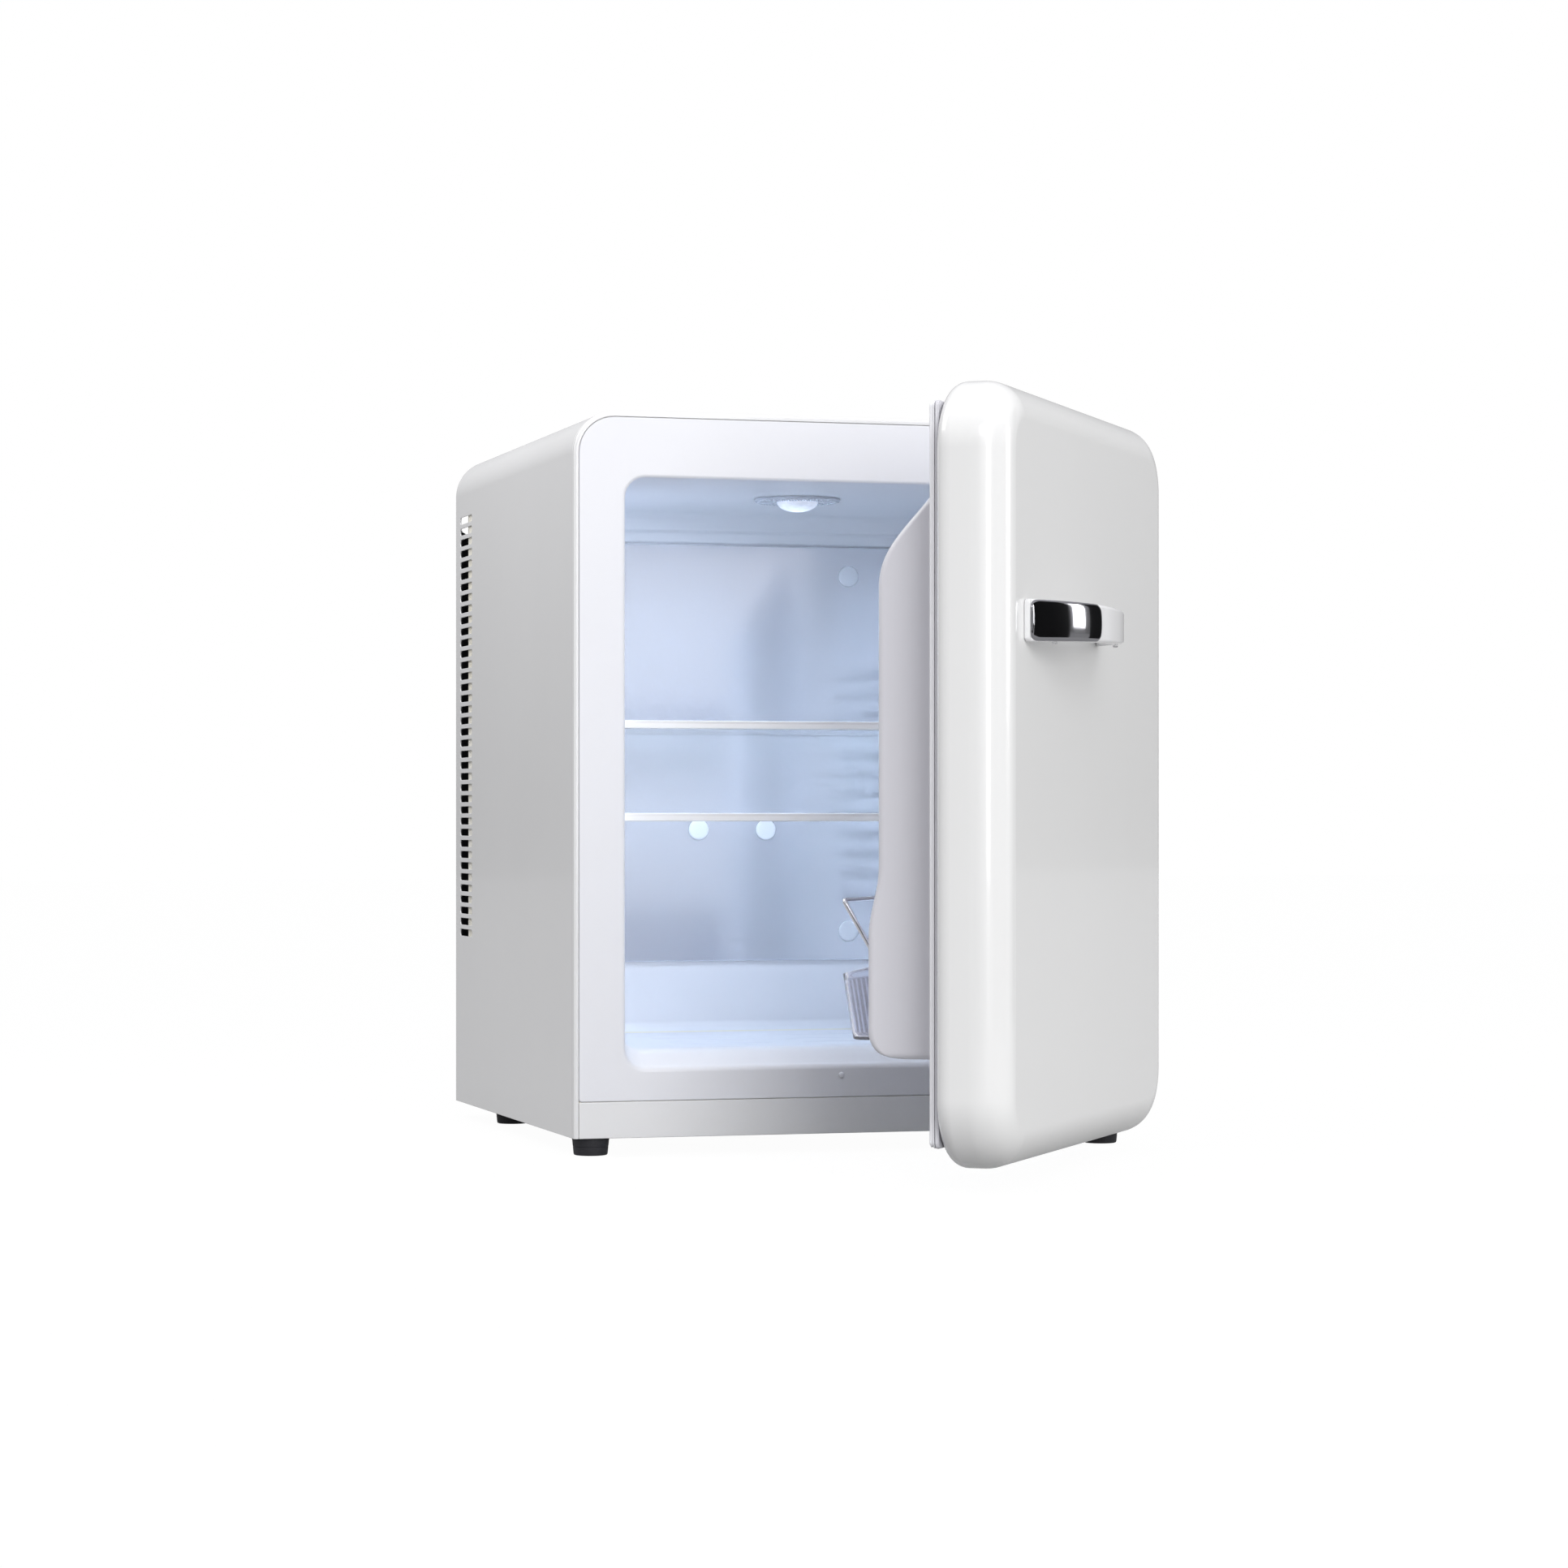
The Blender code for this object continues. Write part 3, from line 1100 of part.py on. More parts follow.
def hinge(name, seat, way, parent, pivot, place):
    arm_inner = seat + way * HINGE_SPACE
    hinge_bracket("hinge_bracket_" + name, arm_inner, way, parent)
    arm_outer = arm_inner + way * BRACKET_SHEET
    start = (HINGE_X, HINGE_Y, arm_outer + way * (GAP + PIN_HEAD))
    shank = PIN_HEAD + 2 * GAP + BRACKET_SHEET + HINGE_SPACE + PIN_REACH
    profile = [(0, 0), (PIN_HEAD_RADIUS, 0), (PIN_HEAD_RADIUS, PIN_HEAD), (PIN_RADIUS, PIN_HEAD),
               (PIN_RADIUS, shank), (0, shank)]
    add_object("hinge_pin_" + name, turned(profile, start, (0, 0, -way), 16), BARE_METAL, parent)
    bore = PIN_RADIUS + GAP
    body = bore + BUSH_WALL
    flange = BUSH_FLANGE_RADIUS
    top = GAP + BUSH_FLANGE
    profile = [(bore, top), (flange, top), (flange, GAP), (body, GAP), (body, GAP - BUSH_DEPTH),
               (bore, GAP - BUSH_DEPTH)]
    bush = turned(profile, (HINGE_X, HINGE_Y, seat), (0, 0, way), 16)
    add_object("hinge_bush_" + name, bush, BLACK_PLASTIC, pivot, place)


def build():
    clear_scene()
    stand = empty("stand", (0, 0, FOOT_HEIGHT))
    cabinet_wrap(stand)
    base_and_kick(stand)
    rear_rails(stand)
    feet(stand)
    inner_liner(stand)
    insulation_foam(stand)
    rear_bulkhead(stand)
    cold_plate(stand)
    lamp(stand)
    sill_plug(stand)
    cooling_core(stand)
    fan(stand)
    control_box(stand)
    shelf("lower_shelf", LOWER_SHELF_RIB, stand)
    shelf("upper_shelf", UPPER_SHELF_RIB, stand)
    floor_tray(stand)
    place = (HINGE_X, HINGE_Y, 0.0)
    pivot = empty("door_pivot", place, stand)
    pivot["axis_place"] = place
    pivot.rotation_euler = (0, 0, math.radians(DOOR_OPEN_ANGLE))
    door_skin(pivot, place)
    door_inside(pivot, place)
    door_racks(pivot, place)
    handle(pivot, place)
    hinge("bottom", LOWER_SEAT, -1, stand, pivot, place)
    hinge("top", UPPER_SEAT, 1, stand, pivot, place)
    centre_on_origin(stand)


def centre_on_origin(stand):
    """Slide everything so that the object's box is centred on the origin, with its feet at height 0."""
    bpy.context.view_layer.update()
    seen = bpy.context.evaluated_depsgraph_get()
    low = [math.inf, math.inf]
    high = [-math.inf, -math.inf]
    for item in bpy.data.objects:
        if item.type == "MESH" and not item.hide_render:
            solid = item.evaluated_get(seen)
            for vertex in solid.data.vertices:
                place = solid.matrix_world @ vertex.co
                for axis in (0, 1):
                    low[axis] = min(low[axis], place[axis])
                    high[axis] = max(high[axis], place[axis])
    for axis in (0, 1):
        stand.location[axis] = -(low[axis] + high[axis]) / 2


build()
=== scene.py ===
# Minibar fridge with its door open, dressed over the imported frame
import json
import math

import bpy
import bmesh
from mathutils import Matrix, Vector

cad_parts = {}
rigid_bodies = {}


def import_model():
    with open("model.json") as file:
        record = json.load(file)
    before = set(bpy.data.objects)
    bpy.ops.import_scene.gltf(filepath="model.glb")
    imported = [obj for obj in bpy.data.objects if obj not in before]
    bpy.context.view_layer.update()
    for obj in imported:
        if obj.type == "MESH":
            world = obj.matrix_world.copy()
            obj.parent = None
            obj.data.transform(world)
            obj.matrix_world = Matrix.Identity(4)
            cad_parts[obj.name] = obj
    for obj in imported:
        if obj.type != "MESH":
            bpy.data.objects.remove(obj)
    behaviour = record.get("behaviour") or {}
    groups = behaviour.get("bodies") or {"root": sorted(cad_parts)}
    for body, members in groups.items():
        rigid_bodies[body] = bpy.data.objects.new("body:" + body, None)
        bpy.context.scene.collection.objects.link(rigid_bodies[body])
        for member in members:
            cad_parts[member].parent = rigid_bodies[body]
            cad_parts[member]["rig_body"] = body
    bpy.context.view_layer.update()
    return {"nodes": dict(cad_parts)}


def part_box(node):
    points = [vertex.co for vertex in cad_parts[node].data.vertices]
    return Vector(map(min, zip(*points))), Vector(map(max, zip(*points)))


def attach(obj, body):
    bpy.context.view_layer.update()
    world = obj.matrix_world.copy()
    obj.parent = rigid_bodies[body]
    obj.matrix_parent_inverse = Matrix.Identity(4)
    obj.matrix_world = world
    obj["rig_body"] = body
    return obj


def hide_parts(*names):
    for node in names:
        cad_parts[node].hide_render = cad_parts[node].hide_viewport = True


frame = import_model()
nodes = frame["nodes"]

# Camera; the picture is 1932 by 1932
camera = {"place": (-0.89597, -2.85889, 0.2455), "turn": (90.0, 0.0, -16.438), "lens": 91.16, "rise": 0.0241,
          "sensor": 36.0, "far": 60.0}
eye = bpy.data.objects.new("eye", bpy.data.cameras.new("eye"))
bpy.context.scene.collection.objects.link(eye)
eye.location = camera["place"]
eye.rotation_euler = [math.radians(a) for a in camera["turn"]]
eye.data.lens, eye.data.sensor_width = camera["lens"], camera["sensor"]
eye.data.shift_y, eye.data.clip_end = camera["rise"], camera["far"]
bpy.context.scene.camera = eye
bpy.context.scene.view_settings.view_transform = "Standard"

# Sizes shared by several pieces, in the cabinet's own place:
# x from the middle, y from the front, z from the underside
cab = {"half": 0.217, "height": 0.534, "depth": 0.425, "corner": 0.031, "sheet": 0.001, "bead": 0.0035,
       "gap": 0.0003}
cavity = {"half": 0.178, "top": 0.4858, "floor": 0.056, "corner": 0.015, "wall": 0.0016,
          "ribs": 12, "firstRib": 0.1822, "ribPitch": 0.0174, "lampY": 0.155}
leaf = {"half": 0.2155, "bottom": 0.001, "top": 0.5268, "corner": 0.048, "face": -0.0575, "lip": -0.0077,
        "liner": -0.0048, "hingeX": 0.201, "hingeY": -0.026, "open": 54.0}
cabinetPlace = Matrix.Translation(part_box("cabinet_wrap")[0] - Vector((-cab["half"], 0.0, 0.0)))
doorPlace = (cabinetPlace @ Matrix.Translation((leaf["hingeX"], leaf["hingeY"], 0.0))
             @ Matrix.Rotation(math.radians(leaf["open"]), 4, "Z")
             @ Matrix.Translation((-leaf["hingeX"], -leaf["hingeY"], 0.0)))
asPacked = Matrix.Identity(4)


class Sock:
    # one output socket; sums on it add Math nodes
    def __init__(self, graph, socket):
        self.graph = graph
        self.socket = socket

    def __add__(self, other):
        return self.graph.sum("ADD", self, other)

    def __radd__(self, other):
        return self.graph.sum("ADD", other, self)

    def __sub__(self, other):
        return self.graph.sum("SUBTRACT", self, other)

    def __rsub__(self, other):
        return self.graph.sum("SUBTRACT", other, self)

    def __mul__(self, other):
        return self.graph.sum("MULTIPLY", self, other)

    def __rmul__(self, other):
        return self.graph.sum("MULTIPLY", other, self)


class Graph:
    # a node tree, of a material or of the world
    def __init__(self, tree):
        self.tree = tree

    def plug(self, target, value):
        if isinstance(value, Sock):
            self.tree.links.new(value.socket, target)
        else:
            target.default_value = value

    def node(self, kind, settings=None, inputs=None, output=0):
        made = self.tree.nodes.new(kind)
        for key, value in (settings or {}).items():
            if key == "stops":  # a ramp's (place, colour) pairs
                for element, (place, colour) in zip(made.color_ramp.elements, value):
                    element.position = place
                    element.color = colour
            else:
                setattr(made, key, value)
        for key, value in (inputs or {}).items():
            self.plug(made.inputs[key], value)
        return Sock(self, made.outputs[output])

    def sum(self, operation, one, two):
        return self.node("ShaderNodeMath", {"operation": operation}, {0: one, 1: two})

    def clamp(self, value, low, high, lowTo=0.0, highTo=1.0):
        return self.node("ShaderNodeMapRange", {"interpolation_type": "SMOOTHSTEP"},
                         {"Value": value, "From Min": low, "From Max": high, "To Min": lowTo, "To Max": highTo})

    def place(self, stretch=(1.0, 1.0, 1.0)):
        here = self.node("ShaderNodeTexCoord", output="Object")
        return self.node("ShaderNodeVectorMath", {"operation": "MULTIPLY"}, {0: here, 1: stretch})

    def noise(self, scale, detail=2.0, stretch=(1.0, 1.0, 1.0)):
        return self.node("ShaderNodeTexNoise", None,
                         {"Vector": self.place(stretch), "Scale": scale, "Detail": detail})

    def mix(self, share, one, two):
        return self.node("ShaderNodeMix", {"data_type": "RGBA"}, {0: share, 6: one, 7: two}, output=2)

    def mixShader(self, share, one, two):
        return self.node("ShaderNodeMixShader", None, {0: share, 1: one, 2: two})

    def ray(self, kind):
        return self.node("ShaderNodeLightPath", output=f"Is {kind} Ray")

    def finishWith(self, output, shader):
        self.plug(self.tree.nodes[output].inputs["Surface"], shader)


class Finish(Graph):
    # a material with one Principled shader; fixed holds the sockets that are the same all over
    def __init__(self, name, fixed=None):
        self.material = bpy.data.materials.new(name)
        self.material.use_nodes = True
        super().__init__(self.material.node_tree)
        self.shader = self.tree.nodes["Principled BSDF"]
        for key, value in (fixed or {}).items():
            self.shader.inputs[key].default_value = value

    def feed(self, name, value):
        self.plug(self.shader.inputs[name], value)

    def shade(self, share, colour, drift):
        # the colour, darker by drift where share is low
        self.feed("Base Color", self.mix(share, tone(colour, 1.0 - drift), tone(colour)))

    def bump(self, height, strength, distance=0.001):
        self.feed("Normal", self.node("ShaderNodeBump", None,
                                      {"Height": height, "Strength": strength, "Distance": distance}))


def tone(colour, share=1.0):
    return (colour[0] * share, colour[1] * share, colour[2] * share, 1.0)


# Finishes
def paintFinish(name, look):
    # sprayed or moulded skin: cloudy tone, uneven gloss and a fine orange peel
    made = Finish(name, {"Coat Weight": look.get("coat", 0.0), "Coat Roughness": 0.04,
                         "Specular IOR Level": look.get("specular", 0.5), "Metallic": look.get("metal", 0.0)})
    cloud, speck = made.noise(look.get("cloud", 5.0)), made.noise(700.0)
    made.shade(made.clamp(cloud * 0.7 + speck * 0.3, 0.2, 0.8), look["colour"], look.get("drift", 0.01))
    uneven = look.get("uneven", 0.015)
    made.feed("Roughness", made.clamp(made.noise(8.0, 3.0), 0.2, 0.8, look["rough"] - uneven,
                                      look["rough"] + uneven))
    made.bump(made.noise(look.get("peel", 420.0)), look.get("peelDepth", 0.04), look.get("peelHeight", 0.0004))
    return made.material


def metalFinish(name, look):
    # rolled, drawn or plated metal with a grain along one direction
    made = Finish(name, {"Metallic": look.get("metal", 1.0)})
    grain = made.noise(look.get("grain", 900.0), 3.0, look.get("stretch", (1.0, 1.0, 0.04)))
    cloud = made.noise(30.0, 4.0)
    made.shade(made.clamp(cloud, 0.3, 0.7), look["colour"], look.get("drift", 0.08))
    made.feed("Roughness", made.clamp(grain * 0.6 + cloud * 0.4, 0.25, 0.75, look["rough"], look["roughTo"]))
    made.bump(grain, look.get("depth", 0.05), 0.0003)
    return made.material


def clearFinish(name, look):
    # clear moulded plastic or glass, with faint flow marks in it
    made = Finish(name, {"Transmission Weight": look.get("through", 0.92), "IOR": look["ior"]})
    flow = made.noise(14.0, 3.0, look.get("stretch", (1.0, 1.0, 1.0)))
    made.shade(made.clamp(flow, 0.3, 0.7), look["colour"], 0.03)
    made.feed("Roughness", made.clamp(flow, 0.35, 0.75, look["rough"], look["roughTo"]))
    made.bump(made.noise(60.0), look.get("rippleDepth", 0.03))
    return made.material


def grainFinish(name, look):
    # moulded black plastic or rubber: fine pebbled grain, dust in the grain's hollows
    made = Finish(name, {"Specular IOR Level": 0.4})
    grain, cloud = made.noise(look.get("grain", 1400.0), 3.0), made.noise(22.0, 4.0)
    dust = made.clamp(cloud * 0.6 + grain * 0.4, 0.52, 0.75, 0.0, 0.35)
    made.feed("Base Color", made.mix(dust, tone(look["colour"]), tone((0.12, 0.12, 0.12))))
    made.feed("Roughness", made.clamp(cloud, 0.3, 0.7, look["rough"] - 0.06, look["rough"] + 0.08))
    made.bump(grain, look.get("depth", 0.18), 0.0004)
    return made.material


def foamFinish(name, look):
    # cast foam: skin with fine open cells and pale blotches
    made = Finish(name)
    cells = made.node("ShaderNodeTexVoronoi", {"feature": "DISTANCE_TO_EDGE"},
                      {"Vector": made.place(), "Scale": look["cells"]})
    made.feed("Base Color", made.mix(made.clamp(made.noise(12.0, 4.0), 0.3, 0.7), tone(look["colour"]),
                                     tone(look["old"])))
    made.feed("Roughness", made.clamp(cells, 0.0, 0.3, 0.95, 0.75))
    made.bump(cells, 0.5)
    return made.material


def boardFinish(name, look):
    # coated board with copper lands under the coat and small light emitters
    made = Finish(name, {"Emission Strength": look["power"]})
    flat = made.place((1.0, 1.0, 0.0))
    made.feed("Base Color", made.node("ShaderNodeTexBrick", None, {
        "Vector": flat, "Scale": 190.0, "Mortar Size": 0.02, "Color1": tone(look["colour"]),
        "Color2": tone(look["land"]), "Mortar": tone(look["edge"])}))
    dots = made.node("ShaderNodeTexVoronoi", None, {"Vector": flat, "Scale": 150.0, "Randomness": 0.0})
    made.feed("Emission Color", made.mix(1 - made.clamp(dots, 0.22, 0.3), tone((0.0, 0.0, 0.0)),
                                         tone((0.9, 0.95, 1.0))))
    made.feed("Roughness", made.clamp(made.noise(120.0), 0.3, 0.7, 0.35, 0.55))
    return made.material


def glowFinish(name, look):
    # frosted dome with small facets that carries the lamp's light
    made = Finish(name, {"Emission Strength": look["power"]})
    facets = made.node("ShaderNodeTexVoronoi", None, {"Vector": made.place(), "Scale": look["facets"]})
    lit = made.clamp(facets, 0.1, 0.6)
    made.feed("Emission Color", made.mix(lit, tone((0.95, 0.97, 1.0)), tone((0.66, 0.72, 0.86))))
    made.feed("Base Color", made.mix(lit, tone((0.86, 0.88, 0.93)), tone((0.7, 0.74, 0.84))))
    made.feed("Roughness", made.clamp(facets, 0.0, 0.7, 0.18, 0.36))
    made.bump(facets, 0.35, 0.0006)
    return made.material


looks = {
    "cabinet_paint": (paintFinish, {"colour": (0.83, 0.83, 0.835), "rough": 0.24, "coat": 0.25, "drift": 0.02,
                                    "peel": 520.0, "peelDepth": 0.035}),
    "door_paint": (paintFinish, {"colour": (0.86, 0.86, 0.855), "rough": 0.19, "coat": 0.4, "drift": 0.012,
                                 "peel": 260.0, "peelDepth": 0.018, "uneven": 0.012}),
    "liner_plastic": (paintFinish, {"colour": (0.83, 0.835, 0.87), "rough": 0.29, "peel": 900.0, "drift": 0.006,
                                    "uneven": 0.008}),
    # darker than the cabinet's liner: partly the plastic's own lilac grey, partly painted shade on the open door's
    # inner side
    "door_liner_plastic": (paintFinish, {"colour": (0.72, 0.715, 0.76), "rough": 0.34, "peel": 900.0,
                                         "peelDepth": 0.05, "uneven": 0.02}),
    "tray_plastic": (paintFinish, {"colour": (0.83, 0.835, 0.88), "rough": 0.295, "peel": 900.0}),
    "trim_plastic": (paintFinish, {"colour": (0.97, 0.97, 0.97), "rough": 0.22, "drift": 0.006, "coat": 0.3}),
    "handle_plastic": (paintFinish, {"colour": (0.85, 0.85, 0.86), "rough": 0.14, "coat": 0.5}),
    "cap_plastic": (paintFinish, {"colour": (0.80, 0.83, 0.88), "rough": 0.22, "drift": 0.02}),
    "cold_plate_paint": (paintFinish, {"colour": (0.84, 0.87, 0.93), "rough": 0.12, "coat": 0.3, "metal": 0.68,
                                       "cloud": 4.0, "peel": 150.0, "peelDepth": 0.12, "peelHeight": 0.0006}),
    "seal_rubber": (paintFinish, {"colour": (0.86, 0.86, 0.89), "rough": 0.5, "drift": 0.03, "peel": 1200.0,
                                  "peelDepth": 0.1, "specular": 0.35}),
    "module_ceramic": (paintFinish, {"colour": (0.84, 0.84, 0.80), "rough": 0.6, "drift": 0.04, "peel": 1500.0,
                                     "peelDepth": 0.12}),
    "dark_sheet": (metalFinish, {"colour": (0.035, 0.035, 0.04), "metal": 0.35, "rough": 0.34, "roughTo": 0.55,
                                 "stretch": (0.04, 1.0, 1.0), "depth": 0.04}),
    "bare_aluminium": (metalFinish, {"colour": (0.66, 0.67, 0.69), "rough": 0.285, "roughTo": 0.42}),
    "black_aluminium": (metalFinish, {"colour": (0.03, 0.03, 0.034), "metal": 0.6, "rough": 0.35,
                                      "roughTo": 0.55}),
    # the plate's chrome colour is darkened: painted dark reflection of the surroundings, helped by the dark cards
    "handle_chrome": (metalFinish, {"colour": (0.32, 0.32, 0.34), "rough": 0.06, "roughTo": 0.11, "drift": 0.03,
                                    "grain": 60.0, "depth": 0.012}),
    "wire_chrome": (metalFinish, {"colour": (0.74, 0.74, 0.79), "rough": 0.05, "roughTo": 0.12, "drift": 0.05}),
    "screw_steel": (metalFinish, {"colour": (0.62, 0.62, 0.64), "rough": 0.2, "roughTo": 0.4}),
    "hinge_steel": (metalFinish, {"colour": (0.60, 0.60, 0.63), "rough": 0.285, "roughTo": 0.44}),
    "clear_plastic": (clearFinish, {"colour": (0.95, 0.97, 1.0), "ior": 1.45, "rough": 0.05, "roughTo": 0.12}),
    "lamp_plastic": (clearFinish, {"colour": (0.84, 0.88, 0.96), "ior": 1.45, "rough": 0.12, "roughTo": 0.3,
                                   "through": 0.3}),
    "bin_plastic": (clearFinish, {"colour": (0.90, 0.91, 0.985), "ior": 1.46, "rough": 0.06, "roughTo": 0.14,
                                  "through": 0.9, "stretch": (1.0, 1.0, 0.3)}),
    "shelf_glass": (clearFinish, {"colour": (0.90, 0.95, 0.96), "ior": 1.5, "rough": 0.01, "roughTo": 0.03,
                                  "through": 0.96, "rippleDepth": 0.01}),
    "black_plastic": (grainFinish, {"colour": (0.02, 0.02, 0.022), "rough": 0.42}),
    "bush_plastic": (grainFinish, {"colour": (0.03, 0.03, 0.03), "rough": 0.5, "grain": 2200.0}),
    "foot_rubber": (grainFinish, {"colour": (0.022, 0.022, 0.027), "rough": 0.62, "grain": 1100.0,
                                  "depth": 0.3}),
    "foam": (foamFinish, {"colour": (0.87, 0.85, 0.78), "old": (0.82, 0.78, 0.66), "cells": 900.0}),
    "board": (boardFinish, {"colour": (0.86, 0.86, 0.82), "land": (0.72, 0.74, 0.68), "edge": (0.55, 0.45, 0.2),
                            "power": 4.0}),
    "lamp_glow": (glowFinish, {"power": 0.42, "facets": 520.0}),  # the lamp's dome
}
finishes = {name: maker(name, look) for name, (maker, look) in looks.items()}
print("finishes:", len(finishes))


# Mesh makers; points are in the cabinet's or the closed door's place
def arc(x, y, reachX, reachY, start, sweep, steps, first=0):
    # points round a centre, angles in degrees
    angles = [math.radians(start + sweep * step / steps) for step in range(first, steps + 1)]
    return [(x + reachX * math.cos(a), y + reachY * math.sin(a)) for a in angles]


def roundedRect(half, low, high, radius, topRadius=None, steps=10):
    # points of a rounded rectangle as (side, height), from the lower left round to the upper left
    topRadius = radius if topRadius is None else topRadius
    points = []
    for side, z, r, start in ((-1, low, radius, 180), (1, low, radius, 270), (1, high, topRadius, 0),
                              (-1, high, topRadius, 90)):
        points += arc(side * (half - r), z + r if z == low else z - r, r, r, start, 90, steps)
    return points


def upright(points, depth):
    return [Vector((x, depth, z)) for x, z in points]


def skin(rings, closed=False, caps=(True, True)):
    made = bmesh.new()
    rows = [[made.verts.new(point) for point in points] for points in rings]
    pairs = list(zip(rows, rows[1:]))
    if closed:
        pairs.append((rows[-1], rows[0]))
    count = len(rows[0])
    for one, two in pairs:
        for i in range(count):
            made.faces.new((one[i], one[(i + 1) % count], two[(i + 1) % count], two[i]))
    if not closed:
        for wanted, row in zip(caps, (rows[0], rows[-1])):
            if wanted:
                made.faces.new(row)
    return made


def lathe(profile, centre, axis, segments=48):
    # profile is (radius, along) points; a radius of 0 closes an end
    turn = Vector((0, 0, 1)).rotation_difference(Vector(axis)).to_matrix()
    circle = arc(0, 0, 1, 1, 0, 360, segments)[:-1]
    made = bmesh.new()
    rows = []
    for radius, along in profile:
        spots = circle[:1] if radius == 0 else circle
        rows.append([made.verts.new(Vector(centre) + turn @ Vector((radius * x, radius * y, along)))
                     for x, y in spots])
    for one, two in zip(rows, rows[1:]):
        for i in range(segments):
            j = (i + 1) % segments
            if len(one) == 1 and len(two) > 1:
                made.faces.new((one[0], two[j], two[i]))
            elif len(two) == 1 and len(one) > 1:
                made.faces.new((one[i], one[j], two[0]))
            elif len(one) > 1:
                made.faces.new((one[i], one[j], two[j], two[i]))
    return made


def slab(low, high):
    return skin([upright(((low[0], low[2]), (high[0], low[2]), (high[0], high[2]), (low[0], high[2])), y)
                 for y in (low[1], high[1])])


def hose(route, radius, sides=14):
    # round tube along many points, carried forward without twist
    rings = []
    across = None
    for i, point in enumerate(route):
        way = (route[min(i + 1, len(route) - 1)] - route[max(i - 1, 0)]).normalized()
        across = way.orthogonal() if across is None else across - way * across.dot(way)
        across.normalize()
        up = way.cross(across)
        rings.append([point + x * across + y * up for x, y in arc(0, 0, radius, radius, 0, 360, sides)[:-1]])
    return skin(rings)


def bentRoute(corners, radius, steps=7):
    # straight runs joined by round bends
    route = [corners[0]]
    for before, here, after in zip(corners, corners[1:], corners[2:]):
        to, away = (before - here).normalized(), (after - here).normalized()
        reach = min(radius, (before - here).length * 0.45, (after - here).length * 0.45)
        for step in range(steps + 1):
            t = step / steps
            route.append(here + to * reach * (1 - t) ** 2 + away * reach * t ** 2)
    return route + [corners[-1]]


def joined(parts):
    whole = bmesh.new()
    for part in parts:
        scratch = bpy.data.meshes.new("scratch")
        part.to_mesh(scratch)
        part.free()
        whole.from_mesh(scratch)
        bpy.data.meshes.remove(scratch)
    return whole


def settle(made):
    # apply the modifiers that are on a piece
    bpy.context.view_layer.update()
    done = bpy.data.meshes.new_from_object(made.evaluated_get(bpy.context.evaluated_depsgraph_get()))
    old = made.data
    made.modifiers.clear()
    made.data = done
    bpy.data.meshes.remove(old)


def shapeObject(name, mesh, matrix):
    bmesh.ops.recalc_face_normals(mesh, faces=mesh.faces)
    data = bpy.data.meshes.new(name)
    mesh.to_mesh(data)
    mesh.free()
    data.transform(matrix)
    made = bpy.data.objects.new(name, data)
    bpy.context.scene.collection.objects.link(made)
    return made


def carve(made, tools, matrix):
    for mesh in tools:
        tool = shapeObject("cutter", mesh, matrix)
        blend(made, tool, "DIFFERENCE")
        bpy.data.objects.remove(tool)


def blend(made, other, operation):
    step = made.modifiers.new("blend", "BOOLEAN")
    step.operation, step.solver, step.object = operation, "EXACT", other
    settle(made)


def soften(made, edge):
    # round the sharp edges, then keep broad faces flat in the shading
    if edge:
        width, segments, *angle = edge
        step = made.modifiers.new("edge", "BEVEL")
        step.width, step.segments, step.limit_method = width, segments, "ANGLE"
        step.angle_limit = math.radians(angle[0] if angle else 40.0)
        step.use_clamp_overlap = True
    made.data.shade_smooth()
    made.data.set_sharp_from_angle(angle=math.radians(50.0))
    made.modifiers.new("shade", "WEIGHTED_NORMAL").keep_sharp = True
    settle(made)


def dress(made, slot, body, stands=(), edge=None, finish=None):
    made.data.materials.clear()
    made.data.materials.append(finishes[finish or slot])
    soften(made, edge)
    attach(made, body)
    if stands:
        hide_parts(*stands)


def piece(name, mesh, slot, body, stands=(), matrix=cabinetPlace, edge=None, tools=(), finish=None):
    made = shapeObject(name, mesh, matrix)
    carve(made, tools, matrix)
    dress(made, slot, body, stands, edge, finish)
    return made


def rounded(node, slot, edge):
    # finer copy of a CAD node: its flat faces whole again, its edges rounded
    mesh = bmesh.new()
    mesh.from_mesh(nodes[node].data)
    bmesh.ops.remove_doubles(mesh, verts=mesh.verts, dist=1e-6)
    bmesh.ops.dissolve_limit(mesh, angle_limit=math.radians(0.5), verts=mesh.verts, edges=mesh.edges)
    return piece(node + "_soft", mesh, slot, nodes[node]["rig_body"], (node,), asPacked, edge)


def turned(node, profile, spot, axis, slot, body, segments=48):
    # turned piece in place of a small round node
    piece(node + "_soft", lathe(profile, spot, axis, segments), slot, body, (node,), asPacked)


def spotOn(node, side=(0, 0, 0)):
    # a point of a node's box; -1, 0 and 1 are its low side, middle and high side
    low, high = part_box(node)
    return (low + high) / 2 + Vector(side) * (high - low) / 2


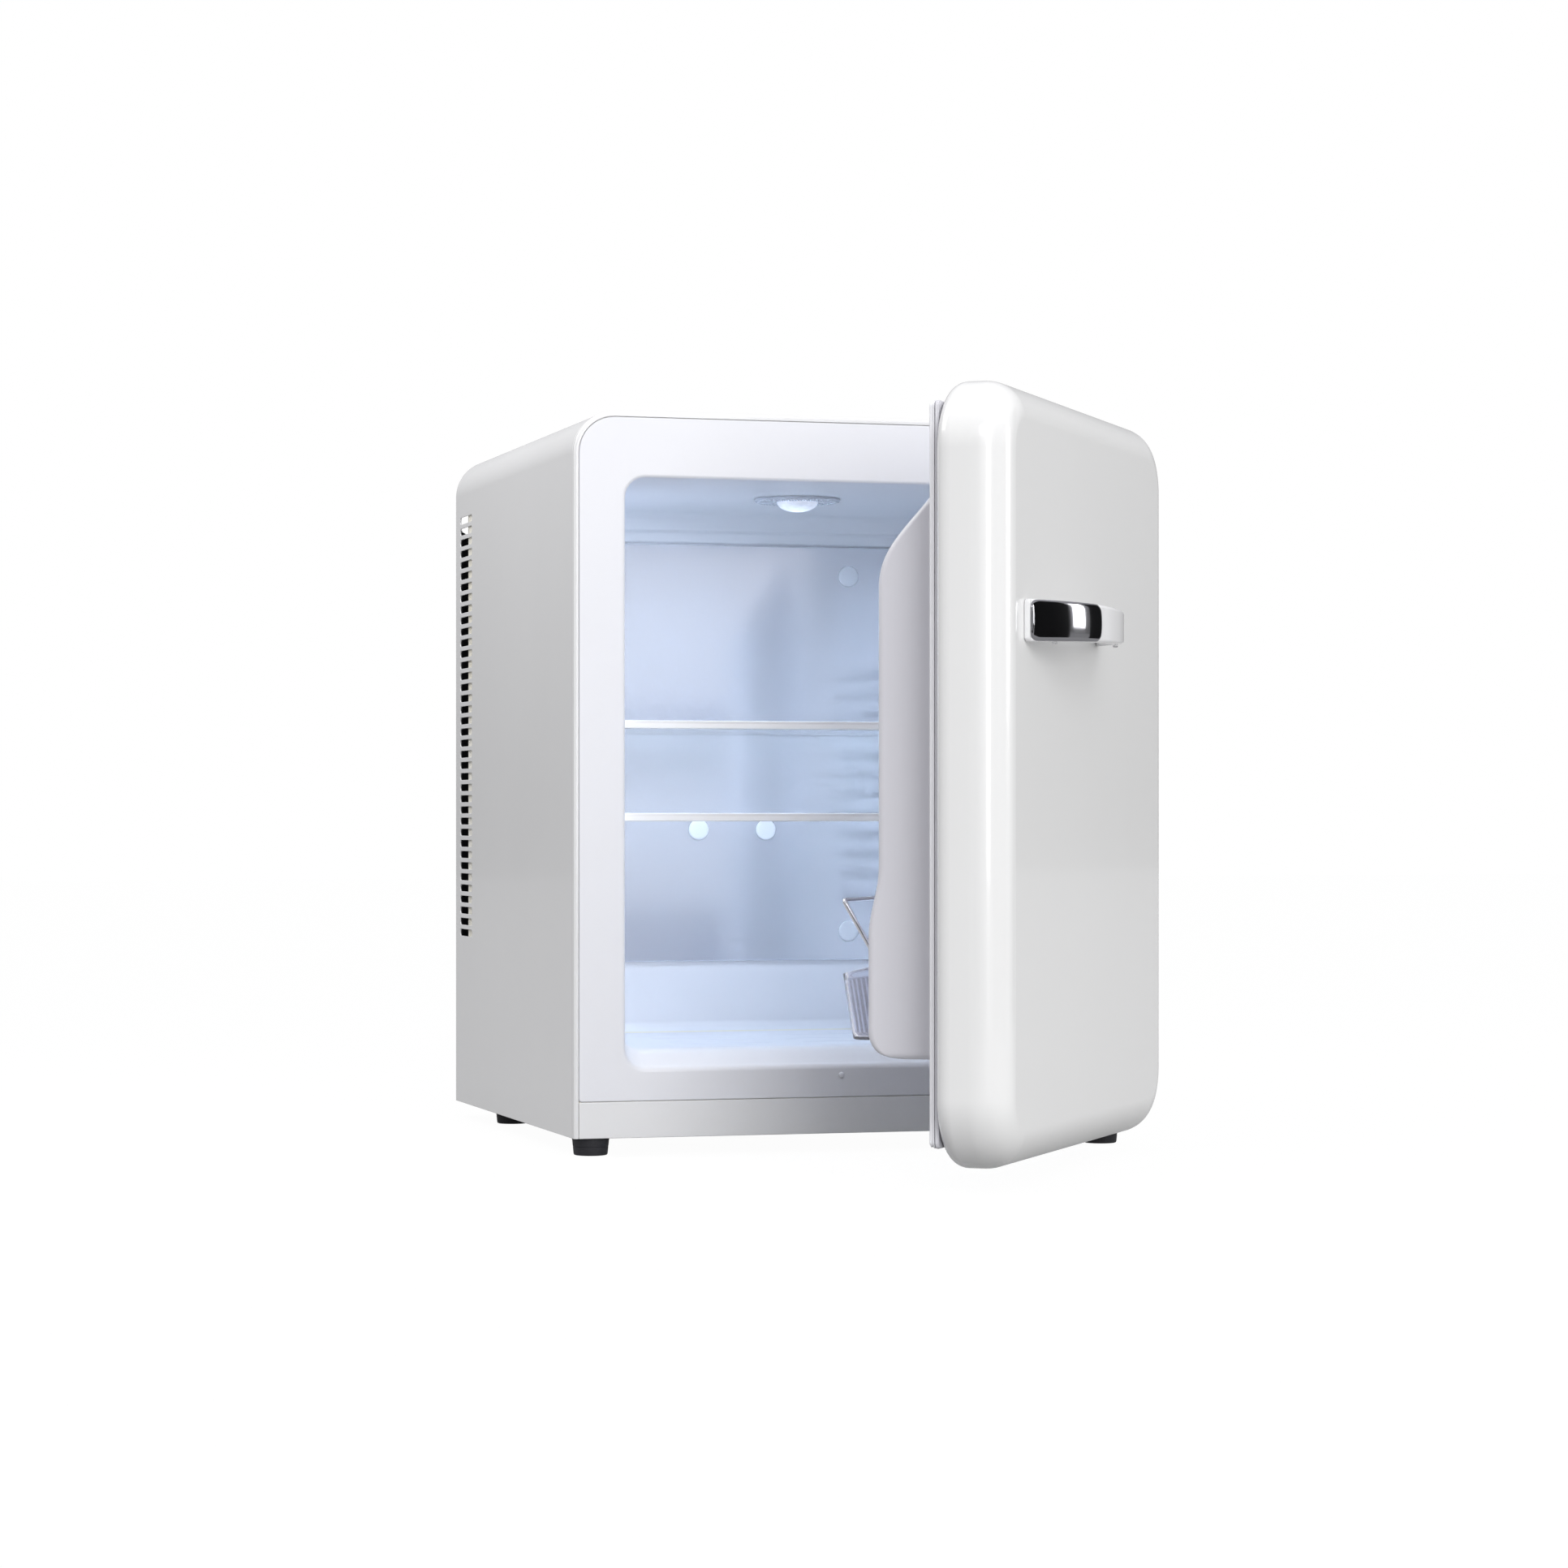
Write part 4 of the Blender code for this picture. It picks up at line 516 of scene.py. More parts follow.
def cabinetShell():
    # steel wrap: section across the sheet, carried from the left foot over the top to the right foot
    wrap = {"roll": 0.0019, "groove": 0.0005, "grooveAt": 0.0052, "hem": 0.003, "steps": 18}
    depth, sheet, roll, hem = cab["depth"], cab["sheet"], wrap["roll"], wrap["hem"]
    at, deep = wrap["grooveAt"], wrap["groove"]
    section = [(cab["bead"], 0.0)] + arc(roll, roll, roll, roll, 270, -90, 6)
    section += [(0.0, at - 0.0012), (deep * 0.6, at - 0.0006), (deep, at), (deep * 0.6, at + 0.0006),
                (0.0, at + 0.0014), (0.0, depth - 0.0012), (0.0003, depth - 0.0004), (0.0011, depth), (hem, depth),
                (hem, depth - sheet), (sheet, depth - sheet), (sheet, at + 0.003), (sheet + deep, at),
                (sheet, sheet), (cab["bead"], sheet)]
    half, corner = cab["half"], cab["corner"]
    path = [((-half, 0.0), (-1.0, 0.0))]
    for side, start in ((-1, 180), (1, 90)):
        path += [((side * (half - corner) + corner * x, cab["height"] - corner + corner * z), (x, z))
                 for x, z in arc(0, 0, 1, 1, start, -90, wrap["steps"])]
    path.append(((half, 0.0), (1.0, 0.0)))
    return skin([[Vector((x - n * wx, y, z - n * wz)) for n, y in section] for (x, z), (wx, wz) in path])


def ventSlots(side):
    slot = {"count": 38, "pitch": 0.00921, "tall": 0.0057, "long": 0.047, "fromRear": 0.0182, "firstTop": 0.4846,
            "out": 0.001, "deep": 0.0035}
    half = slot["tall"] / 2
    far = cab["depth"] - slot["fromRear"] - half
    near = far - slot["long"] + slot["tall"]
    slots = []
    for index in range(slot["count"]):
        middle = slot["firstTop"] - half - index * slot["pitch"]
        points = arc(far, middle, half, half, -90, 180, 10) + arc(near, middle, half, half, 90, 180, 10)
        slots.append(skin([[Vector((side * (cab["half"] + slot["out"] - inward), y, z)) for y, z in points]
                           for inward in (0.0, slot["deep"])]))
    return joined(slots)


piece("steel_wrap", cabinetShell(), "cabinet_paint", "cabinet", ("cabinet_wrap",), edge=(0.0003, 2, 42),
      tools=(ventSlots(-1), ventSlots(1)))
rounded("kick_panel", "cabinet_paint", (0.0005, 3))
rounded("base_plate", "dark_sheet", (0.0003, 2))
rounded("rear_bulkhead", "dark_sheet", (0.0002, 2))
for side in ("left", "right"):
    rounded("rear_rail_" + side, "dark_sheet", (0.0003, 2))
print("cabinet shell done")


def feet():
    foot = {"high": 0.013, "radius": 0.0138, "taper": 0.0012, "round": 0.0012}
    ground, radius = -foot["high"], foot["radius"]
    low, top = radius - foot["taper"], -cab["gap"]
    profile = [(0, ground + 0.0015), (0.0035, ground + 0.0015), (0.0042, ground + 0.0004), (0.005, ground),
               (low - foot["round"], ground), (low - 0.0004, ground + 0.0003), (low, ground + foot["round"]),
               (low + 0.0005, -0.0068), (low + 0.0002, -0.0065), (low + 0.0006, -0.0062),
               (radius - 0.0002, -0.002), (radius, -0.0012), (radius - 0.0004, top), (0, top)]
    for name in ("front_left", "front_right", "rear_left", "rear_right"):
        centre = spotOn("foot_" + name)
        centre.z = foot["high"]
        piece("rubber_foot_" + name, lathe(profile, centre, (0, 0, 1)), "foot_rubber", "cabinet",
              ("foot_" + name,), asPacked)


feet()


def cavityStations():
    # (depth, bottom, top, corner, how far the mouth's fillet stands out) from the mouth to the back wall
    mouth = 0.0026
    sill = [(0.0, 0.0505), (0.004, 0.0533), (0.008, 0.0570), (0.0125, 0.0610), (0.0165, 0.0636), (0.0195, 0.0645),
            (0.0215, 0.0640), (0.0232, 0.0612), (0.0245, 0.0580), (0.0262, 0.0563), (0.029, 0.0560),
            (0.3345, 0.0560), (0.338, 0.0566), (0.3415, 0.0585), (0.3445, 0.0622), (0.3462, 0.0655),
            (0.347, 0.0680)]
    cove = [(0.0, 0.0), (0.300, 0.0), (0.309, -0.0004), (0.317, -0.0022), (0.3235, -0.0058), (0.3285, -0.0112),
            (0.3302, -0.0128), (0.3316, -0.0134), (0.3352, -0.0138), (0.3385, -0.0152), (0.3415, -0.0180),
            (0.344, -0.0212), (0.347, -0.0230)]

    def along(table, at):
        for (x0, y0), (x1, y1) in zip(table, table[1:]):
            if at <= x1:
                return y0 + (y1 - y0) * (at - x0) / (x1 - x0)
        return table[-1][1]

    depths = [mouth * (1 - math.cos(math.radians(15 * i))) for i in range(7)]
    depths += sorted({d for d, _ in sill + cove if d > mouth + 0.0005} | {0.06, 0.1, 0.14, 0.18, 0.22, 0.26})
    made = []
    for d in depths:
        out = mouth - math.sqrt(max(0.0, mouth ** 2 - max(0.0, mouth - d) ** 2))
        rise = 0.006 * max(0.0, (d - 0.335) / 0.012) ** 2
        made.append((d, along(sill, d), cavity["top"] + along(cove, d), cavity["corner"] + rise, out))
    return made


def linerRings(skinOut):
    rings = []
    for d, low, high, radius, out in cavityStations():
        grow = out + skinOut
        outline = roundedRect(cavity["half"] + grow, low - grow, high + grow, radius + grow)
        rings.append(upright(outline, d + (skinOut if d > 0.34 else 0.0)))
    return rings


def ribBar(side, top):
    # one moulded rib: its section flares into the wall, its ends run out softly
    rib = {"front": 0.061, "rear": 0.335, "high": 0.0096, "reach": 0.015, "soft": 0.0022, "flare": 0.0016}
    low, soft = top - rib["high"], rib["soft"]
    edge = rib["reach"] - soft
    section = [(-0.0004, top + rib["flare"]), (0.0006, top + 0.0006), (0.0022, top), (edge, top)]
    section += arc(edge, top - soft, soft, soft, 90, -90, 4, 1) + arc(edge, low + soft, soft, soft, 0, -90, 4)
    section += [(0.0022, low), (0.0006, low - 0.0006), (-0.0004, low - rib["flare"])]
    stations = [(rib["front"] + y, share)
                for y, share in ((0.0, 0.05), (0.0004, 0.55), (0.0014, 0.82), (0.003, 0.95), (0.006, 1.0))]
    stations += [(rib["rear"] - y, share)
                 for y, share in ((0.012, 1.0), (0.006, 0.93), (0.002, 0.72), (0.0, 0.05))]
    middle = top - rib["high"] / 2
    return skin([[Vector((side * (cavity["half"] - x * share), y, middle + (z - middle) * (0.6 + 0.4 * share)))
                  for x, z in section] for y, share in stations])


def liner():
    # one skin for frame, mouth, walls and back; the ribs stand on it
    flange = {"bottom": 0.027, "corner": 0.002}
    wall, margin = cavity["wall"], cab["bead"] + cab["gap"]
    half, bottom, top = cab["half"] - margin, flange["bottom"], cab["height"] - margin
    lampHole = {"radius": 0.0268, "deep": 0.02, "under": 0.004}

    def edge(inset, depth):
        return upright(roundedRect(half - inset, bottom + inset, top - inset, flange["corner"],
                                   cab["corner"] - margin - inset), depth)

    rings = linerRings(0.0)[::-1] + [edge(0.0009, 0.0), edge(0.0003, 0.0002), edge(0.0, 0.0008), edge(0.0, wall)]
    rings += linerRings(wall)[4:]
    hole = [(0, 0), (lampHole["radius"], 0), (lampHole["radius"], lampHole["deep"]), (0, lampHole["deep"])]
    piece("liner_shell", skin(rings), "liner_plastic", "cabinet",
          ("inner_liner", "liner_side_left", "liner_side_right", "liner_ceiling", "liner_floor_and_back"),
          tools=(lathe(hole, (0, cavity["lampY"], cavity["top"] - lampHole["under"]), (0, 0, 1)),))
    for side, name in ((-1, "left"), (1, "right")):
        bars = [ribBar(side, cavity["firstRib"] + cavity["ribPitch"] * i) for i in range(cavity["ribs"])]
        piece("liner_ribs_" + name, joined(bars), "liner_plastic", "cabinet")


liner()
print("liner done")


def plateAndCaps():
    cap = {"radius": 0.0085, "high": 0.0015}
    rounded("cold_plate", "cold_plate_paint", (0.0007, 3))
    profile = [(cap["radius"] - 0.0002, 0.0), (cap["radius"], 0.0003)]
    profile += [(cap["radius"] * wide, cap["high"] * high)
                for wide, high in ((1.0, 0.45), (0.96, 0.75), (0.86, 0.92), (0.6, 0.97), (0, 1))]
    for height in ("top", "middle", "bottom"):
        for side in ("left", "right"):
            name = f"plate_cap_{height}_{side}"
            turned(name, profile, spotOn(name, (0, 1, 0)), (0, -1, 0), "cap_plastic", "cabinet")


plateAndCaps()


def ceilingLamp():
    # pale ring with beads round its rim and a small dome that carries the light
    lamp = {"radius": 0.034, "flange": 0.002, "dome": 0.016, "drop": 0.008, "beads": 52,
            "reflector": 0.0262}
    at, radius, dome = cavity["lampY"], lamp["radius"], lamp["dome"]
    seat = cavity["top"] - cab["gap"]
    rim = seat - lamp["flange"]
    profile = [(radius - 0.0002, seat), (radius, seat - 0.0004), (radius - 0.0002, rim + 0.0004),
               (radius - 0.0009, rim), (dome + 0.006, rim), (dome + 0.0012, rim + 0.0003),
               (dome + 0.0004, rim + 0.0006), (dome + 0.0004, seat - 0.0002), (dome + 0.0008, seat),
               (radius - 0.0002, seat)]
    ring = [lathe(profile, (0, at, 0), (0, 0, 1), 64)]
    for i in range(lamp["beads"]):
        a = 2 * math.pi * i / lamp["beads"]
        for reach, size in ((radius - 0.0035, 0.0013), (dome + 0.0028, 0.0009)):
            bead = [(size, 0.0), (size * 0.92, size * 0.38), (size * 0.62, size * 0.78), (0, size)]
            ring.append(lathe(bead, (reach * math.cos(a), at + reach * math.sin(a), rim + 0.0003), (0, 0, -1), 10))
    piece("lamp_lens_clear", joined(ring), "clear_plastic", "cabinet", ("lamp_lens",), finish="lamp_plastic")
    inner, low, high = dome + 0.0006, seat + 0.0004, seat + 0.001
    back = [(inner, low), (lamp["reflector"], low), (lamp["reflector"], high), (inner, high), (inner, low)]
    piece("lamp_reflector", lathe(back, (0, at, 0), (0, 0, 1), 64), "liner_plastic", "cabinet")
    shape = [(dome, seat - 0.0003), (dome, rim)] + arc(0, rim, dome, lamp["drop"], 0, -90, 9, 1)
    shape[-1] = (0, rim - lamp["drop"])
    piece("lamp_diffuser", lathe(shape, (0, at, 0), (0, 0, 1)), "clear_plastic", "cabinet", finish="lamp_glow")


ceilingLamp()


def sillPlug():
    spot = spotOn("sill_plug", (0, 1, 0)) + Vector((0, 0.0002, 0))
    profile = [(0.0023, 0.0), (0.0022, 0.0004), (0.0017, 0.0008), (0.0008, 0.00095), (0, 0.001)]
    turned("sill_plug", profile, spot, (0, -1, 0), "liner_plastic", "cabinet", 32)


sillPlug()
print("cavity fittings done")


# Shelves and tray
def shelves():
    shelf = {"front": 0.051, "deep": 0.0095, "high": 0.0063, "wall": 0.0012, "pane": 0.0035, "soft": 0.0011,
             "lean": 0.0016}
    half, gap, soft, lean = cavity["half"] - 0.001, cab["gap"], shelf["soft"], shelf["lean"]
    front, back = shelf["front"], shelf["front"] + shelf["deep"]
    paneFront = front + shelf["wall"]
    for name, rib in (("lower_shelf", 3), ("upper_shelf", 7)):
        low = cavity["firstRib"] + rib * cavity["ribPitch"] + gap
        pane = rounded(name + "_pane", "shelf_glass", (0.0004, 2))
        pane.visible_shadow = False  # clear glass passes the lamp's light
        over, under = low + shelf["pane"] + gap, low - gap
        top = over + shelf["wall"] * 0.5
        bottom = top - shelf["high"]
        section = [(front + soft, bottom), (back - 0.0003, bottom), (back, bottom + 0.0003), (back, under),
                   (paneFront, under), (paneFront, over), (back, over), (back, top - 0.0002), (back - 0.0003, top),
                   (front + soft + lean, top)]
        section += arc(front + lean + soft, top - soft, soft, soft, 90, 90, 4, 1)
        section += arc(front + soft, bottom + soft, soft, soft, 180, 90, 4, 1)[:-1]
        middle = (top + bottom) / 2
        rings = []
        for inward, shrink in ((0.0, 0.82), (0.0003, 0.95), (0.001, 1.0)):
            ring = [(y + 0.0006 * (1 - shrink), middle + (z - middle) * shrink) for y, z in section]
            rings.append((half - inward, ring))
        strip = [(-x, ring) for x, ring in rings] + rings[::-1]
        piece(name + "_front_strip", skin([[Vector((x, y, z)) for y, z in ring] for x, ring in strip]),
              "trim_plastic", name, (name + "_trim",))


def tray():
    plate = {"half": 0.1625, "front": 0.0256, "rear": 0.333, "thick": 0.0027, "rows": 5, "long": 0.09,
             "wide": 0.004, "apart": 0.012, "rim": 0.0006}
    front, rear, r = plate["front"], plate["rear"], plate["wide"] / 2
    low = cavity["floor"] + cab["gap"]
    top = low + plate["thick"]
    rings = [[Vector((x, y, z)) for x, y in roundedRect(plate["half"] - inset, front + inset, rear - inset,
                                                        cavity["corner"] - inset)]
             for inset, z in ((0.0006, low), (0.0, low + 0.0006), (0.0, top - 0.0007), (0.0002, top - 0.0002),
                              (0.0007, top), (0.0042, top), (0.0048, top - 0.0001), (0.0054, top - plate["rim"]))]
    slots = []
    for row in range(plate["rows"]):
        at = front + (row + 1) * (rear - front) / (plate["rows"] + 1) + r
        for side in (-1, 1):
            middle, reach = side * (plate["long"] / 2 + plate["apart"]), plate["long"] / 2 - r
            points = arc(middle + reach, at, r, r, -90, 180, 8) + arc(middle - reach, at, r, r, 90, 180, 8)
            slots.append(skin([[Vector((x, y, z)) for x, y in points] for z in (low - 0.001, low + 0.005)]))
    piece("tray_plate", skin(rings), "tray_plastic", "tray", ("floor_tray",), edge=(0.0004, 2, 50),
          tools=(joined(slots),))


shelves()
tray()
print("shelves and tray done")


# Door, modelled closed and turned open by its place
def doorOutline(inset):
    return roundedRect(leaf["half"] - inset, leaf["bottom"] + inset, leaf["top"] - inset, leaf["corner"] - inset,
                       steps=14)


def doorShell():
    look = {"front": 0.026, "rear": 0.012, "sheet": 0.0012, "lip": 0.006, "bore": 0.0053, "boreDeep": 0.0153}
    notch = {"high": 0.0245, "left": 0.0115, "front": 0.0145, "past": 0.006}
    low, high = leaf["bottom"] + notch["high"], leaf["top"] - notch["high"]

    def rounds(inward):
        rings = []
        for radius, face, sign, count in ((look["front"], leaf["face"], 1, 14),
                                          (look["rear"], leaf["lip"], -1, 8)):
            span = radius - inward
            for x, y in arc(0, 0, span, span, 0, 90, count)[::sign]:
                rings.append(upright(doorOutline(radius - y), face + sign * (radius - x)))
        return rings

    lip = look["rear"] + look["lip"]
    rings = rounds(0.0) + [upright(doorOutline(inset), leaf["lip"] - back) for inset, back in (
        (lip - 0.0006, 0.0), (lip, 0.0003), (lip, look["sheet"]))] + rounds(look["sheet"])[::-1]

    def notches(grown):
        left, front = leaf["hingeX"] - notch["left"] - grown, leaf["hingeY"] - notch["front"] - grown
        right, back = leaf["half"] + notch["past"], leaf["lip"] + notch["past"]
        return joined([slab((left, front, leaf["bottom"] - notch["past"]), (right, back, low + grown)),
                       slab((left, front, high - grown), (right, back, leaf["top"] + notch["past"]))])

    shell = shapeObject("door_skin", skin(rings), doorPlace)
    lining = shapeObject("lining", notches(look["sheet"]), doorPlace)
    whole = shapeObject("whole", skin(rounds(0.0)), doorPlace)
    blend(lining, whole, "INTERSECT")
    blend(shell, lining, "UNION")
    bore = [(0, 0), (look["bore"], 0), (look["bore"], look["boreDeep"]), (0, look["boreDeep"])]
    carve(shell, [notches(0.0)] + [
        lathe(bore, (leaf["hingeX"], leaf["hingeY"], height - way * 0.002), (0, 0, way), 24)
        for height, way in ((low, 1), (high, -1))], doorPlace)
    for used in (lining, whole):
        bpy.data.objects.remove(used)
    dress(shell, "door_paint", "door", ("door_shell",), (0.0004, 2, 60))


def flangeOutline(inset):
    # the liner's flange and the seal on it: tight corners on the free side, wide ones round the hinge brackets
    free, hinge = {"edge": 0.0146, "round": 0.0045}, {"edge": 0.016, "round": 0.032}
    points = []
    for look, side, up, start in ((free, -1, 0, 180), (hinge, 1, 0, 270), (hinge, 1, 1, 0), (free, -1, 1, 90)):
        radius = max(0.0006, look["round"] - inset)
        away = look["edge"] + inset + radius
        points += arc(side * (leaf["half"] - away), leaf["top"] - away if up else leaf["bottom"] + away,
                      radius, radius, start, 90, 14)
    return points


def doorSeal():
    # (across the flange, height over it)
    section = [(0.0, 0.0004), (0.0, 0.0012), (0.0009, 0.0021), (0.0006, 0.0033), (0.0018, 0.0041),
               (0.0032, 0.0042), (0.0078, 0.0042), (0.0086, 0.0037), (0.0094, 0.0042), (0.0146, 0.0042),
               (0.0163, 0.0037), (0.0170, 0.0026), (0.0166, 0.0016), (0.0178, 0.0009), (0.018, 0.0004)]
    base = leaf["liner"] + cab["gap"]
    rings = [upright(flangeOutline(0.0003 + across), base + depth) for across, depth in section]
    piece("magnet_seal", skin(rings, closed=True), "seal_rubber", "door", ("door_seal",), doorPlace)


# the liner's two raised uprights; step and taper are heights where their depth changes
cheeks = {"outer": 0.158, "inner": 0.132, "bottom": 0.072, "top": 0.475, "low": 0.0622, "main": 0.0549,
          "thin": 0.008, "corner": 0.018, "step": (0.154, 0.202), "taper": 0.39, "soft": 0.0058,
          "flare": 0.0048, "end": 0.004}
# the two bins; foot and mouth are their depths at the bottom and at the rim
racks = {"bottle_bin": {"bottom": 0.083, "frontHigh": 0.045, "backHigh": 0.066, "mouth": 0.0905, "foot": 0.083},
         "upper_bin": {"bottom": 0.31, "frontHigh": 0.034, "backHigh": 0.034, "mouth": 0.047, "foot": 0.047}}


def cheekDepth(height):
    foot, main, (stepLow, stepHigh) = cheeks["low"], cheeks["main"], cheeks["step"]

    def eased(one, two, share):
        return one + (two - one) * (1 - math.cos(math.pi * share)) / 2

    fall = (cheeks["bottom"] + cheeks["corner"] - height) / cheeks["corner"]
    if fall > 0:
        return foot - cheeks["corner"] * (1 - math.sqrt(max(0.0, 1 - fall * fall)))
    if height < cheeks["taper"]:
        return eased(foot, main, min(1.0, max(0.0, (height - stepLow) / (stepHigh - stepLow))))
    share = (height - cheeks["taper"]) / (cheeks["top"] - cheeks["taper"])
    return eased(main, cheeks["thin"], share ** 1.18)


def cheek(side):
    # raised upright of the door's liner: round crest, fillet into the panel, soft ends
    bottom, top, end, taper = cheeks["bottom"], cheeks["top"], cheeks["end"], cheeks["taper"]
    stepLow, stepHigh = cheeks["step"]
    cap = [(end * (1 - math.cos(math.radians(18 * i))), end * (1 - math.sin(math.radians(18 * i))))
           for i in range(5)]
    heights = [bottom + end + 0.014 * i / 6 for i in range(7)] + [0.095, 0.12, 0.145]
    heights += [stepLow + (stepHigh - stepLow) * i / 12 for i in range(13)] + [0.22, 0.26, 0.30, 0.34, 0.37]
    heights += [taper + (top - end - taper) * i / 22 for i in range(23)]
    stations = [(bottom + rise, inset) for rise, inset in cap] + [(height, 0.0) for height in heights]
    stations += [(top - rise, inset) for rise, inset in reversed(cap)]
    rings = []
    for height, inset in stations:
        depth = max(0.0008, cheekDepth(height) - inset)
        soft, flare = min(cheeks["soft"], depth * 0.45), min(cheeks["flare"], depth * 0.3)
        outer, inner = cheeks["outer"] - inset, cheeks["inner"] + inset
        root, crest = leaf["liner"] - 0.0003 + flare, leaf["liner"] + depth - soft
        section = arc(outer + flare, root, flare, flare, 270, -90, 4)
        section += arc(outer - soft, crest, soft, soft, 0, 90, 6)
        section += arc(inner + soft, crest, soft, soft, 90, 90, 6)
        section += arc(inner - flare, root, flare, flare, 0, -90, 4)
        rings.append([Vector((side * x, y, height)) for x, y in section])
    return skin(rings)


def doorInside():
    face = leaf["liner"]
    ledge = {"x": 0.127, "wide": 0.007, "thick": 0.004, "share": 0.8}
    bead = {"half": 0.112, "low": 0.226, "high": 0.29, "corner": 0.014}
    panel = skin([upright(flangeOutline(inset), face - back) for inset, back in (
        (0.0006, 0.0026), (0.0002, 0.0022), (0.0004, 0.0016), (0.0, 0.0011), (0.0, 0.0003), (0.0003, 0.0))])
    piece("door_panel", joined([panel, cheek(-1), cheek(1)]), "door_liner_plastic", "door", ("door_liner",),
          doorPlace)
    # ledges under the bins
    ledges = []
    for rack in racks.values():
        top, reach = rack["bottom"] - cab["gap"], min(rack["foot"], cheekDepth(rack["bottom"])) * ledge["share"]
        ledges += [slab((left, face - 0.0005, top - ledge["thick"]), (left + ledge["wide"], face + reach, top))
                   for left in (-ledge["x"] - ledge["wide"], ledge["x"])]
    piece("door_ledges", joined(ledges), "door_liner_plastic", "door", (), doorPlace, (0.0008, 3))
    # shallow frame pressed into the panel between the cheeks
    field = [upright(roundedRect(bead["half"] + g, bead["low"] - g, bead["high"] + g, bead["corner"] + g,
                                 steps=8), face + up)
             for g, up in ((0.0, 0.0012), (0.001, 0.0015), (0.003, 0.0015), (0.0045, 0.0010), (0.0055, -0.0002))]
    piece("door_panel_bead", skin(field, caps=(False, False)), "door_liner_plastic", "door", (), doorPlace)


doorShell()
doorSeal()
doorInside()
print("door done")


# the handle: a flat bow that starts at the door's free side; peak is where it stands out most
bow = {"start": 0.044, "length": 0.19, "reach": 0.038, "peak": 0.5, "height": 0.3668, "tall": 0.029,
       "tallEnd": 0.02}


def handleRise(share):
    return bow["reach"] * (1 - (abs(share - bow["peak"]) / 0.5) ** 2.4)


def handleTall(share):
    return (bow["tall"] + (bow["tallEnd"] - bow["tall"]) * share) / 2


def handleSpot(share, rise, up):
    return Vector((-leaf["half"] + bow["start"] + share * bow["length"], leaf["face"] - rise,
                   bow["height"] + up * handleTall(share)))


def handle():
    grip = {"thick": 0.007, "soft": 0.0026, "stations": 72, "blunt": 0.002, "end": 0.004}
    rings = []
    for index in range(grip["stations"] + 1):
        share = grip["blunt"] + (1 - grip["blunt"]) * (0.5 - 0.5 * math.cos(math.pi * index / grip["stations"]))
        along = (share - grip["blunt"]) * bow["length"]
        fromEnd = min(along, (1 - share) * bow["length"]) / grip["end"]
        shrink = 1.0 if fromEnd > 1 else math.sqrt(max(0.02, 1 - (1 - fromEnd) ** 2)) * 0.22 + 0.78
        outer = max(0.004, handleRise(share))
        inner = max(0.0003, outer - grip["thick"] - max(0.0, 0.009 - along))
        soft = min(grip["soft"], (outer - inner) * 0.42)
        softUp = soft / handleTall(share)
        section = [(inner, -1 + 0.3 * softUp), (inner + 0.3 * soft, -1)]
        section += arc(outer - soft, -1 + softUp, soft, softUp, -90, 90, 5)
        section += [(outer, -0.5), (outer, 0.0), (outer, 0.5)]
        section += arc(outer - soft, 1 - softUp, soft, softUp, 0, 90, 5)
        section += [(inner + 0.3 * soft, 1), (inner, 1 - 0.3 * softUp)]
        rings.append([handleSpot(share, rise, up * shrink) for rise, up in section])
    piece("handle_bow", skin(rings), "handle_plastic", "door", ("handle_body",), doorPlace)
    # bright plate let into the bow: follows its curve, round corners, soft crown
    plate = {"start": 0.0022, "long": 0.0612, "half": 0.0136, "corner": 0.0066, "high": 0.0013, "soft": 0.003,
             "swell": 0.0007, "steps": 20, "stations": 48}
    rings = []
    for index in range(plate["stations"] + 1):
        along = plate["long"] * (0.5 - 0.5 * math.cos(math.pi * (0.02 + 0.96 * index / plate["stations"])))
        fromEnd = min(along, plate["long"] - along)
        cut = max(0.0, plate["corner"] - fromEnd)
        high = plate["half"] - plate["corner"] + math.sqrt(max(0.0, plate["corner"] ** 2 - cut ** 2))
        share = (plate["start"] + along) / bow["length"]
        base = max(0.004, handleRise(share))
        crown = []
        for step in range(plate["steps"] + 1):
            up = -math.cos(math.pi * step / plate["steps"])
            inside = min(1.0, min(high * (1 - abs(up)), fromEnd) / plate["soft"])
            rise = plate["high"] * math.sqrt(max(0.0, 1 - (1 - inside) ** 2)) + plate["swell"] * (1 - up * up)
            crown.append((base + 0.0002 + rise, up * high))
        under = [(base - 0.0006, up) for rise, up in reversed(crown)]
        rings.append([handleSpot(share, rise, up / handleTall(0.1)) for rise, up in crown + under])
    piece("handle_plate", skin(rings), "handle_chrome", "door", ("handle_inset",), doorPlace)
    screw = [(0.0018, 0.0), (0.0018, 0.0008), (0.0014, 0.0012), (0.0007, 0.0013), (0.0006, 0.0008), (0, 0.0008)]
    for name in ("handle_screw_left", "handle_screw_right"):
        turned(name, screw, spotOn(name, (0, 0, 1)), (0, 0, -1), "screw_steel", "door", 20)


handle()
print("handle done")


